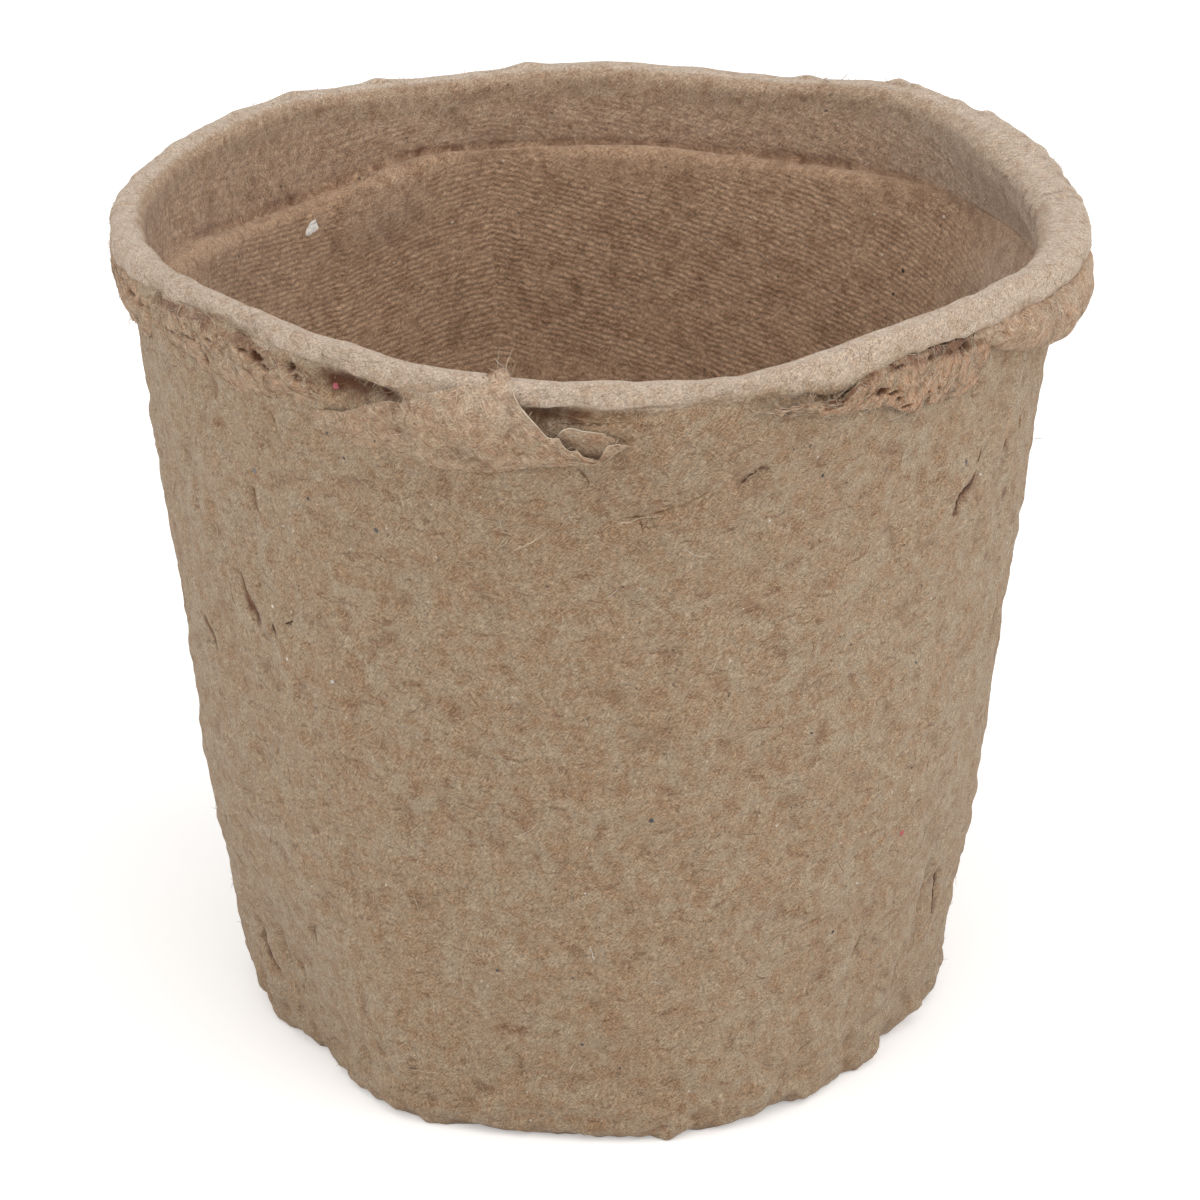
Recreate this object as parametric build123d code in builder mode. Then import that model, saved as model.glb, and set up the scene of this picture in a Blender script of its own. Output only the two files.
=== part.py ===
from build123d import *
import os
from math import cos, exp, radians, sin

# Round moulded-fibre plant pot, in millimetres.
# The origin is the middle of the base on the ground, +Z is up and the front faces -Y.
# The moulding is cut level into four zones: base, wall, collar and lip.
# It dried out of round, so each zone is lofted through bent rings.
# Torn plies of pulp that the mould left under the lip are pieces of their own.

# Overall sizes
rim_diameter = 80.0  # outside of the lip
pot_height = 70.0
base_diameter = 59.0  # outside, where the wall line meets the ground

# Base and wall
floor_thickness = 2.4
heel_radius = 2.0  # outside edge that the pot stands on
corner_radius = 3.0  # inside corner between floor and wall
collar_thickness = 1.6  # thin band of wall above the inside ledge
ledge_width = 1.1  # step from the collar in to the thicker wall
ledge_depth = 6.7  # from the top of the lip down to the ledge
ledge_round = 0.8
ledge_round_most = 0.7  # share of the ledge's width that its rounding may take
collar_draft = 0.3  # the collar opens by this much up to the lip

# Lip
lip_overhang = 1.6  # how far the lip stands out past the wall
lip_height = 2.6
lip_crown = 1.2  # rounding of the two top edges
lip_turn = 0.8  # rounding of the lower outside edge

# Out of round: bumps as azimuth, size and half width in degrees.
# Azimuths and arcs are in degrees, counted from the front, positive to the right.
rim_bumps = [
    (5, 0.8, 30),
    (-50, -1.6, 28),
    (48, -1.4, 22),
    (112, 0.5, 14),
    (138, 2.6, 20),
    (165, -0.4, 16),
    (-142, 1.0, 16),
]
rim_bumps_from = 12.0  # level from which the rim's bumps grow up to the top
foot_flats = [
    (-60, -2.6, 18),
    (-33, 0.7, 9),
    (57, -2.4, 18),
]
foot_flats_to = 30.0  # level at which the flats of the foot have faded out
rim_inside_share = 0.15  # how much of an inward bump at the rim shows inside the thick wall
foot_inside_share = 0.45  # how much of a flat of the foot shows inside
ring_points = 36
wall_rings = 5  # levels that the wall is lofted through

# Torn plies
seat_bite = 0.4  # how deep a raw ply starts in what carries it, before it is cut to its seat
trim_margin = 1.0  # how far a raw ply runs past its torn outline
ply_spacing = 2.5  # degrees between the ends of neighbours

flap_azimuth = -15.0
flap_arc = 38.0
flap_top = 0.7
flap_drop = 8.4
flap_thickness = 0.9
flap_lean = 1.2  # stand-off from the wall line at the upper edge

skirt_arc = 34.0
skirt_below_lip = 0.4
skirt_drop = 4.6
skirt_thickness = 0.8
skirt_lean = 0.5

scab_arc = 27.0
scab_below_lip = 0.3
scab_drop = 4.0
scab_thickness = 1.0
scab_lean = 1.2

fold_arc = 36.0
fold_below_lip = 0.2
fold_drop = 4.4
fold_thickness = 1.4
fold_lean = 1.0

# Thick roll of pulp under the lip at the right
roll_azimuth = 84.0
roll_arc = 52.0
roll_reach = 2.9  # how far it stands out past the wall line
roll_width = 4.8  # of its section, across the wall
roll_height = 5.4
roll_below_lip = 0.2
roll_inset = 14.0  # its circle is this much off the pot's axis, so that both ends run out

# Worked out from the sizes above
rim_radius = rim_diameter / 2
base_radius = base_diameter / 2
lip_base = pot_height - lip_height
ledge_level = pot_height - ledge_depth
wall_foot = floor_thickness + corner_radius
wall_top_radius = rim_radius - lip_overhang
wall_thickness = collar_thickness + ledge_width
collar_bore = wall_top_radius - collar_thickness
taper = (wall_top_radius - base_radius) / lip_base
skirt_azimuth = flap_azimuth - flap_arc / 2 - ply_spacing - skirt_arc / 2
scab_azimuth = skirt_azimuth - skirt_arc / 2 - ply_spacing - scab_arc / 2
fold_azimuth = roll_azimuth - roll_arc / 2 - ply_spacing - fold_arc / 2
skirt_top = lip_height + skirt_below_lip
scab_top = lip_height + scab_below_lip
fold_top = lip_height + fold_below_lip
roll_middle = lip_base - roll_below_lip - roll_height / 2


def wall_radius(level):
    """Outside radius of the tapered wall at a level above the ground."""
    return base_radius + taper * level


def bore_radius(level):
    """Inside radius of the wall below the ledge."""
    return wall_radius(level) - wall_thickness


def eased(share):
    """Smooth step from 0 to 1."""
    share = min(max(share, 0), 1)
    return share * share * (3 - 2 * share)


def swell(azimuth, bumps):
    """Sum of soft bumps at an azimuth."""
    total = 0
    for centre, size, half_width in bumps:
        away = (azimuth - centre + 180) % 360 - 180
        total += size * exp(-((away / half_width) ** 2))
    return total


def bend(azimuth, level, inside):
    """How far the moulding stands out of round at an azimuth and a level."""
    rim = swell(azimuth, rim_bumps) * eased((level - rim_bumps_from) / (pot_height - rim_bumps_from))
    foot = swell(azimuth, foot_flats) * eased(1 - level / foot_flats_to)
    if inside:
        rim = max(rim, rim * rim_inside_share)
        foot = max(foot, foot * foot_inside_share)
    return rim + foot


def ring(level, radius, inside=False):
    """Level outline of the moulding, out of round."""
    points = []
    for step in range(ring_points):
        azimuth = 360 * step / ring_points
        reach = radius + bend(azimuth, level, inside)
        points.append((reach * sin(radians(azimuth)), -reach * cos(radians(azimuth))))
    with BuildSketch(Plane.XY.offset(level)) as outline:
        with BuildLine():
            Spline(*points, periodic=True)
        make_face()
    return outline.sketch


def bent(rings, inside=False):
    """Solid lofted through rings, each given as a level and a round radius."""
    return loft([ring(level, radius, inside) for level, radius in rings], clean=False)


def facing(azimuth):
    """Upright plane through the pot's axis that looks out at an azimuth, with its Y up."""
    turn = radians(azimuth)
    return Plane(origin=(0, 0, 0), x_dir=(cos(turn), sin(turn), 0), z_dir=(sin(turn), -cos(turn), 0))


# Base: floor, rounded heel and inside corner
with BuildPart() as pot_base:
    add(bent([(0, base_radius), (wall_foot, wall_radius(wall_foot))]))
    base_bore = [(level, bore_radius(level)) for level in (floor_thickness, wall_foot)]
    add(bent(base_bore, inside=True), mode=Mode.SUBTRACT)
    heel = pot_base.edges().group_by(Axis.Z)[0]
    fillet(heel, radius=heel_radius)
    corner = pot_base.edges().sort_by(lambda edge: abs(edge.center().Z - floor_thickness))[0]
    fillet(corner, radius=corner_radius)

# Wall: tapered shell from the inside corner up to the ledge, rounded where it steps in
wall_step = (ledge_level - wall_foot) / (wall_rings - 1)
wall_levels = [wall_foot + wall_step * number for number in range(wall_rings)]
wall_blank = bent([(level, wall_radius(level)) for level in wall_levels])
with BuildPart() as pot_wall:
    add(wall_blank)
    add(bent([(level, bore_radius(level)) for level in wall_levels], inside=True), mode=Mode.SUBTRACT)
    ledge_edge = pot_wall.edges().group_by(Axis.Z)[-1].sort_by(SortBy.LENGTH)[0]
    fillet(ledge_edge, radius=min(ledge_round, ledge_width * ledge_round_most))

# Collar: thinner band between the ledge and the lip
collar_blank = bent([(ledge_level, wall_radius(ledge_level)), (lip_base, wall_top_radius)])
with BuildPart() as rim_collar:
    add(collar_blank)
    collar_hole = bent([(ledge_level, collar_bore - collar_draft), (lip_base, collar_bore)])
    add(collar_hole, mode=Mode.SUBTRACT)

# Lip: rounded bead that stands out past the wall
lip_blank = bent([(lip_base, rim_radius), (pot_height, rim_radius)])
with BuildPart() as rim_lip:
    add(lip_blank)
    add(bent([(lip_base, collar_bore), (pot_height, collar_bore)]), mode=Mode.SUBTRACT)
    crown = rim_lip.edges().group_by(Axis.Z)[-1]
    fillet(crown, radius=lip_crown)
    turned_edge = rim_lip.edges().group_by(Axis.Z)[0].sort_by(SortBy.LENGTH)[-1]
    fillet(turned_edge, radius=lip_turn)

# Plies and the roll are cut to these blanks, which fill the inside of the pot
blanks = [wall_blank, collar_blank, lip_blank]


def torn_ply(azimuth, arc, top, drop, thickness, lean, outline):
    """Leaning ply of pulp, trimmed to a torn outline and seated on the moulding.

    The outline's points are shares of the ply's arc, left to right, and of its drop, top to bottom.
    """
    head = pot_height - top
    foot = head - drop
    head_inside = wall_radius(head) + lean
    foot_inside = wall_radius(foot) - seat_bite
    slope = (head_inside - foot_inside) / drop
    high = head + trim_margin
    low = foot - trim_margin
    high_inside = head_inside + slope * trim_margin
    low_inside = foot_inside - slope * trim_margin
    with BuildPart() as ply:
        add(bent([(low, low_inside + thickness + seat_bite), (high, high_inside + thickness)]))
        add(bent([(low, low_inside), (high, high_inside)]), clean=False, mode=Mode.SUBTRACT)
        with BuildSketch(facing(azimuth)):
            with BuildLine():
                corners = [
                    (rim_radius * sin(radians(arc * (across - 0.5))), head - drop * down)
                    for across, down in outline
                ]
                Polyline(*corners, close=True)
            make_face()
        extrude(amount=rim_diameter, clean=False, mode=Mode.INTERSECT)
        add(blanks, clean=False, mode=Mode.SUBTRACT)
    return ply


# Front flap: bridges from the lip down to the wall, with a torn tongue at its right end
flap_outline = [
    (0.00, 0.46),
    (0.14, 0.44),
    (0.28, 0.22),
    (0.48, 0.00),
    (0.64, 0.00),
    (0.76, 0.48),
    (0.90, 0.41),
    (1.00, 0.56),
    (0.96, 0.72),
    (0.67, 0.81),
    (0.42, 1.00),
    (0.09, 0.78),
]
front_flap = torn_ply(
    flap_azimuth, flap_arc, flap_top, flap_drop, flap_thickness, flap_lean, flap_outline
)

# Left skirt: skin of the wall that stands off under the lip, torn along its upper edge
skirt_outline = [
    (0.00, 0.12),
    (0.22, 0.00),
    (0.40, 0.16),
    (0.58, 0.06),
    (0.80, 0.22),
    (1.00, 0.30),
    (0.92, 0.72),
    (0.62, 1.00),
    (0.24, 0.90),
    (0.04, 0.56),
]
left_skirt = torn_ply(
    skirt_azimuth, skirt_arc, skirt_top, skirt_drop, skirt_thickness, skirt_lean, skirt_outline
)

# Left scab: short ragged ply at the left side
scab_outline = [
    (0.00, 0.10),
    (0.50, 0.00),
    (1.00, 0.14),
    (0.92, 0.62),
    (0.70, 1.00),
    (0.44, 0.70),
    (0.20, 0.84),
    (0.06, 0.44),
]
left_scab = torn_ply(
    scab_azimuth, scab_arc, scab_top, scab_drop, scab_thickness, scab_lean, scab_outline
)

# Right fold: crumpled ply that hangs under the lip, deeper towards the right
fold_outline = [
    (0.00, 0.02),
    (0.50, 0.00),
    (1.00, 0.10),
    (0.97, 0.60),
    (0.82, 1.00),
    (0.66, 0.84),
    (0.54, 0.88),
    (0.36, 0.54),
    (0.16, 0.44),
    (0.02, 0.22),
]
right_fold = torn_ply(
    fold_azimuth, fold_arc, fold_top, fold_drop, fold_thickness, fold_lean, fold_outline
)

# Right roll: thick bead of pulp that runs out at both ends
roll_plane = facing(roll_azimuth)
roll_axis = Axis(origin=roll_plane.z_dir * roll_inset, direction=(0, 0, 1))
roll_centre = wall_radius(roll_middle) + roll_reach - roll_width / 2
with BuildPart() as right_roll:
    with BuildSketch(Plane(origin=(0, 0, 0), x_dir=roll_plane.z_dir, z_dir=-roll_plane.x_dir)):
        with Locations((roll_centre, roll_middle)):
            Ellipse(roll_width / 2, roll_height / 2)
    revolve(axis=roll_axis)
    with BuildSketch(roll_plane):
        with Locations((0, roll_middle)):
            Rectangle(rim_diameter * sin(radians(roll_arc / 2)), roll_height + trim_margin)
    extrude(amount=rim_diameter, mode=Mode.INTERSECT)
    add(blanks, clean=False, mode=Mode.SUBTRACT)

pieces = {
    "pot_base": pot_base,
    "pot_wall": pot_wall,
    "rim_collar": rim_collar,
    "rim_lip": rim_lip,
    "front_flap": front_flap,
    "left_skirt": left_skirt,
    "left_scab": left_scab,
    "right_fold": right_fold,
    "right_roll": right_roll,
}
os.makedirs("parts", exist_ok=True)
for name, piece in pieces.items():
    piece.part.label = name
    export_step(piece.part, f"parts/{name}.step")
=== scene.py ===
import math
from itertools import product

import bpy
import numpy as np
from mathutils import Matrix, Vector


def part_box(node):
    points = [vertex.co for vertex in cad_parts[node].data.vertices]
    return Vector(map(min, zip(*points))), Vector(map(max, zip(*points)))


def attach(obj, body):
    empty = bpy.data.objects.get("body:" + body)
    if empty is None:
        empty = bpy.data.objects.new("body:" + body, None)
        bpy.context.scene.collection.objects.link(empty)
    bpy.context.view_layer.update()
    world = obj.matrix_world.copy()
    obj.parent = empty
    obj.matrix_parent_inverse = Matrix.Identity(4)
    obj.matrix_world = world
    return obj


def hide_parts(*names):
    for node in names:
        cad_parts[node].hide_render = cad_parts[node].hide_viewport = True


# Moulded fibre plant pot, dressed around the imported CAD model.
# Sizes here are millimetres, azimuths are degrees from the front, positive to the right.

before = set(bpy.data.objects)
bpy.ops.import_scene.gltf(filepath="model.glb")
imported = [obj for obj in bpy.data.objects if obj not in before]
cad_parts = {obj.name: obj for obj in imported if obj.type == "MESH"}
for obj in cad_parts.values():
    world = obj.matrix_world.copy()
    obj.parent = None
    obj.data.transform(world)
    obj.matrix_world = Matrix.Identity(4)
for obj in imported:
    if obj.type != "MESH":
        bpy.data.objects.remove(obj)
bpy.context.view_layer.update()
mm = 0.001
tiny = 1e-9  # keeps comparisons and divisions safe
print("frame loaded:", sorted(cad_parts))


def cadSpan(node):
    low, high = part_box(node)
    return np.array(low) / mm, np.array(high) / mm


lipLow, lipHigh = cadSpan("rim_lip")
wallLow, wallHigh = cadSpan("pot_wall")
potHeight = lipHigh[2]
lipBase = lipLow[2]
ledgeLevel = wallHigh[2]
wallFoot = wallLow[2]
# radii of the round mould, before the pot dried out of round
rimRadius = 40.0
wallTopRadius = 38.4
baseRadius = 29.5
taper = (wallTopRadius - baseRadius) / lipBase
lean = math.atan(taper)


def wallRadius(height):
    return baseRadius + taper * height


# Small helpers


def around(azimuth, centre):
    return (azimuth - centre + 180) % 360 - 180  # shortest way round


def swell(azimuth, bumps):
    # soft bumps, each an azimuth, a size in mm and a half width in degrees
    total = np.zeros_like(azimuth, dtype=float)
    for centre, size, width in bumps:
        total += size * np.exp(-((around(azimuth, centre) / width) ** 2))
    return total


kinkSteps = (-3, -1.5, 0, 1.5, 3)  # degrees over which kinks are eased


def alongRim(azimuth, points):
    # a value around the rim from pairs of azimuth and value, with its kinks eased
    at, value = zip(*points)
    return sum(np.interp(azimuth + step, at, value, period=360) for step in kinkSteps) / len(kinkSteps)


def ease(value, low, high):
    share = np.clip((value - low) / (high - low), 0, 1)
    return share * share * (3 - 2 * share)


lattice = {"cells": 256, "shift": 64, "gain": 1.6}


def pulpNoise(points, size, seed):
    # gradient noise on a seeded lattice, about -1 to 1, with lumps of the given size in mm
    rng = np.random.default_rng(seed)
    cells = lattice["cells"]
    order = rng.permutation(cells)
    slopes = rng.normal(size=(cells, 3))
    slopes /= np.linalg.norm(slopes, axis=1, keepdims=True)
    scaled = points / size + lattice["shift"]
    cell = np.floor(scaled).astype(int)
    part = scaled - cell
    fade = part**3 * (part * (part * 6 - 15) + 10)
    total = np.zeros(len(points))
    for corner in product((0, 1), repeat=3):
        step = np.array(corner)
        x, y, z = ((cell + step) % cells).T
        pick = order[(order[(order[x] + y) % cells] + z) % cells]
        weight = np.prod(np.where(step, fade, 1 - fade), axis=1)
        total += weight * np.sum(slopes[pick] * (part - step), axis=1)
    return total * lattice["gain"]


def gridNoise(across, up, lumps, seed):
    # lumps are a size in mm, a height and a step of the seed
    flat = np.stack([across.ravel(), up.ravel(), np.zeros(across.size)], axis=1)
    total = sum(height * pulpNoise(flat, size, seed + step) for size, height, step in lumps)
    return total.reshape(across.shape)


# How this pot sits out of round: the rim's bumps and waves, and the flats of its foot.
# Bumps are an azimuth, a size and a half width in degrees, as in the CAD model; the waves of the rim,
# a little of the flats of the foot and its worn corners are in the looks alone.
outOfRound = {
    "rim": [
        (5, 0.8, 30), (-50, -1.6, 28), (48, -1.4, 22), (138, 2.6, 20), (-142, 1.0, 16), (165, -0.4, 16),
        (112, 0.5, 14),
    ],
    "rimFrom": 12,
    "rimInside": 0.15,  # how much of an inward bump shows inside the thick wall
    "wave": [
        (5, -0.3, 25), (-50, 0.8, 28), (48, 0.8, 24), (138, 0.6, 22), (-142, 0.1, 16), (-155, -0.5, 14),
        (156, -0.5, 16), (176, 0.3, 12),
    ],
    "waveFrom": 38,
    "foot": [(-60, -3.0, 19), (58, -2.8, 18), (-33, 0.7, 9), (56, 1.1, 6)],
    "footTo": 30,
    "footInside": 0.45,
    "worn": [(-86, -1.0, 8), (78, -0.5, 7)],
    "wornTo": 9,
}


def settle(azimuth, radius, height, inside=0.0):
    # true round coordinates in, places on this pot out; inside is 1 on the inner face of the thick wall
    reach = np.clip(radius / baseRadius, 0, 1)
    rim = swell(azimuth, outOfRound["rim"]) * ease(height, outOfRound["rimFrom"], potHeight)
    rim = rim - inside * np.minimum(rim, 0) * (1 - outOfRound["rimInside"])
    foot = swell(azimuth, outOfRound["foot"]) * ease(height, outOfRound["footTo"], 0)
    foot = foot - inside * np.minimum(foot, 0) * (1 - outOfRound["footInside"])
    worn = swell(azimuth, outOfRound["worn"]) * ease(height, outOfRound["wornTo"], 0) * (1 - inside)
    out = radius + (rim + foot + worn) * reach
    rise = swell(azimuth, outOfRound["wave"]) * ease(height, outOfRound["waveFrom"], lipBase)
    turn = np.radians(azimuth)
    return np.stack([out * np.sin(turn), -out * np.cos(turn), height + rise], axis=-1)


# The wall swells out to the lip, more where pulp bridges to it
underLip = {
    "gone": 58.5,
    "full": 66.5,
    "size": [
        (-180, 0.3), (-95, 0.3), (-80, 0.2), (-70, 0.5), (-60, 0.8), (-40, 0.8), (-34, 0.4), (-27, 0.4),
        (-22, 1.1), (-16, 1.4), (-10, 1.2), (-7, 0.5), (0, 0.35), (5, 0.8), (12, 1.0), (22, 0.8),
        (30, 0.3), (50, 0.1), (62, 0.3),
    ],
    "shade": [(2, 0.3, 32)],  # painted shade: the front darker under the lip
    "shadeRise": (47, 58),
}


def wallFace(azimuth, height):
    rise = ease(height, underLip["gone"], underLip["full"])
    return wallRadius(height) + alongRim(azimuth, underLip["size"]) * rise


def addObject(name, data):
    made = bpy.data.objects.new(name, data)
    bpy.context.scene.collection.objects.link(made)
    return made


def newPiece(name, points, faces, node, material):
    mesh = bpy.data.meshes.new(name)
    mesh.from_pydata((np.asarray(points) * mm).tolist(), [], faces)
    mesh.polygons.foreach_set("use_smooth", np.ones(len(mesh.polygons), bool))
    mesh.materials.append(material)
    piece = addObject(name, mesh)
    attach(piece, "root")
    if node:
        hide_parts(node)
    return piece


def setMap(piece, name, corners):
    layer = piece.data.uv_layers.new(name=name)
    layer.data.foreach_set("uv", np.asarray(corners, dtype=np.float32).ravel())


def setPointMap(piece, name, spots):
    loops = np.zeros(len(piece.data.loops), dtype=np.int32)
    piece.data.loops.foreach_get("vertex_index", loops)
    setMap(piece, name, np.asarray(spots).reshape(-1, 2)[loops])


def setValues(piece, name, values):
    layer = piece.data.attributes.new(name, "FLOAT", "POINT")
    layer.data.foreach_set("value", np.asarray(values, dtype=np.float32).ravel())


def setColours(piece, name, colours):
    layer = piece.data.attributes.new(name, "FLOAT_COLOR", "POINT")
    layer.data.foreach_set("color", np.asarray(colours, dtype=np.float32).ravel())


# Materials


def hexColour(code):
    parts = [int(code[i : i + 2], 16) / 255 for i in (1, 3, 5)]
    linear = [p / 12.92 if p <= 0.04045 else ((p + 0.055) / 1.055) ** 2.4 for p in parts]
    return (*linear, 1.0)


def fillInputs(tree, node, inputs):
    for name, value in inputs.items():
        if isinstance(value, bpy.types.Node):
            value = value.outputs[0]
        if isinstance(value, bpy.types.NodeSocket):
            tree.links.new(value, node.inputs[name])
        else:
            node.inputs[name].default_value = value


def addNode(tree, kind, inputs, **settings):
    node = tree.nodes.new("ShaderNode" + kind)
    for name, value in settings.items():
        setattr(node, name, value)
    fillInputs(tree, node, inputs)
    return node


def newMaterial(name):
    material = bpy.data.materials.new(name)
    material.use_nodes = True
    tree = material.node_tree
    return material, tree, tree.nodes["Principled BSDF"]


# Sockets of the colour Mix node, which go by number
mixShare, mixA, mixB, mixOut = 0, 6, 7, 2

# Moulded pulp: recycled fibre drawn onto a screen and air dried.
# It gives the eye a dull tan felt of bent fibres, flat greyer plates, red-brown hollows with painted shade,
# nicks and specks.
pulpLook = {
    "tan": "#a28a70",
    "plate": "#a8967f",
    "plateShare": 0.75,
    "redBrown": "#94704f",
    "redBrownShare": 0.62,
    # painted shade in the hollows of the relief, over their red-brown tone
    "hollowShade": "#7a583f",
    "hollowShadeShare": 0.5,
    "nick": "#70492f",
    "nickShare": 0.52,
    "paleFibre": "#cbb79c",
    "brownFibre": "#7f5639",
    "fibreShare": 0.48,
    "lip": "#c8b4a1",
    "lipWarm": "#b2967e",
    # inside tone: browner than the wall and set lighter, partly painted light for the light that reaches
    # into the pot
    "inside": "#b49478",
    "insideDark": "#8c6950",
    "raw": "#b08c66",
    # colour of stains and of the painted shade in pockets, creases, grooves and holes
    "stainAndShade": "#5a3521",
    "darkSpeck": "#4d4541",
    "whiteSpeck": "#e0d9cf",
    "clouds": {  # size in mm, detail and twist of the noise behind each
        "plate": (3.0, 3.0, 0.6),
        "mottle": (1.15, 4.0, 0.5),
        "edge": (0.7, 3.0, 0.3),
        "grain": (0.16, 2.0, 0.0),
        "bend": (1.3, 1.0, 0.0),
    },
    "edges": {  # how far noise pushes the edge of a zone, and the values where it starts and is full
        "pale": (0.5, 0.1, 0.9),
        "raw": (0.6, 0.1, 0.6),
        "stainAndShade": (0.7, 0.2, 0.8),
    },
    "ranges": {  # values of the noise where each starts and is full
        "plate": (0.44, 0.6),
        "mottle": (0.46, 0.64),
        "nick": (0.63, 0.73),
        "felt": (1.6, 2.4),
        "grain": (0.3, 0.7),
        "paleFibre": (0.6, 0.74),
        "crossFibre": (0.6, 0.74),
        "brownFibre": (0.6, 0.74),
        "worn": (0.35, 0.55),
        "calm": (0.0, 1.0),
    },
    "bend": 0.8,  # how far fibres stray from a straight line
    "fibreLength": 0.5,
    "fibreWidth": 0.062,
    "fibreWays": [(0.35, 1.0), (-0.8, 1.3), (1.3, 0.8), (2.2, 1.1)],  # turn in radians, share of the length
    "fibreNoise": (1.0, 0.0),  # detail and twist
    "nickSize": (2.0, 0.7),  # along and up
    "nickNoise": (3.0, 0.6),
    "speckSpacing": 1.5,
    "speckSize": 0.075,
    "speckShare": 0.7,
    "specks": [("darkSpeck", "LESS_THAN", 0.16), ("whiteSpeck", "GREATER_THAN", 0.93)],
    "screenPitch": (1.3, 0.98),  # one repeat of the forming screen's weave, along and up
    "wander": (0.6, 0.5, 0.0),  # how far the marks bend away from a true grid, along and up
    "stray": (0.4, 0.22, 0.0),  # how far single marks stray
    "rowShare": 0.75,  # how much the gaps between rows show, and those between pads
    "padShare": 0.55,
    "padRange": 0.85,
    "wornMarks": 0.45,  # share of the marks that is left where they are worn
    "feltTone": (0.64, 1.36),
    "insideFelt": 0.95,  # the felt shows a little less on the pressed inside
    "grainTone": (0.72, 1.28),
    "padTone": (0.75, 1.17),
    "mottleDepth": 0.15,
    "feltDepth": 0.028,
    "grainDepth": 0.025,
    "nickDepth": -0.07,
    "screenDepth": 0.022,
    "roughness": 0.95,
    "ior": 1.5,  # cellulose
    "specular": 0.18,  # a felted surface scatters most of its gloss
    "sheen": 0.25,  # loose fibre ends catch a little light along the edge
    "sheenTint": "#f1eae1",
}


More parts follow.
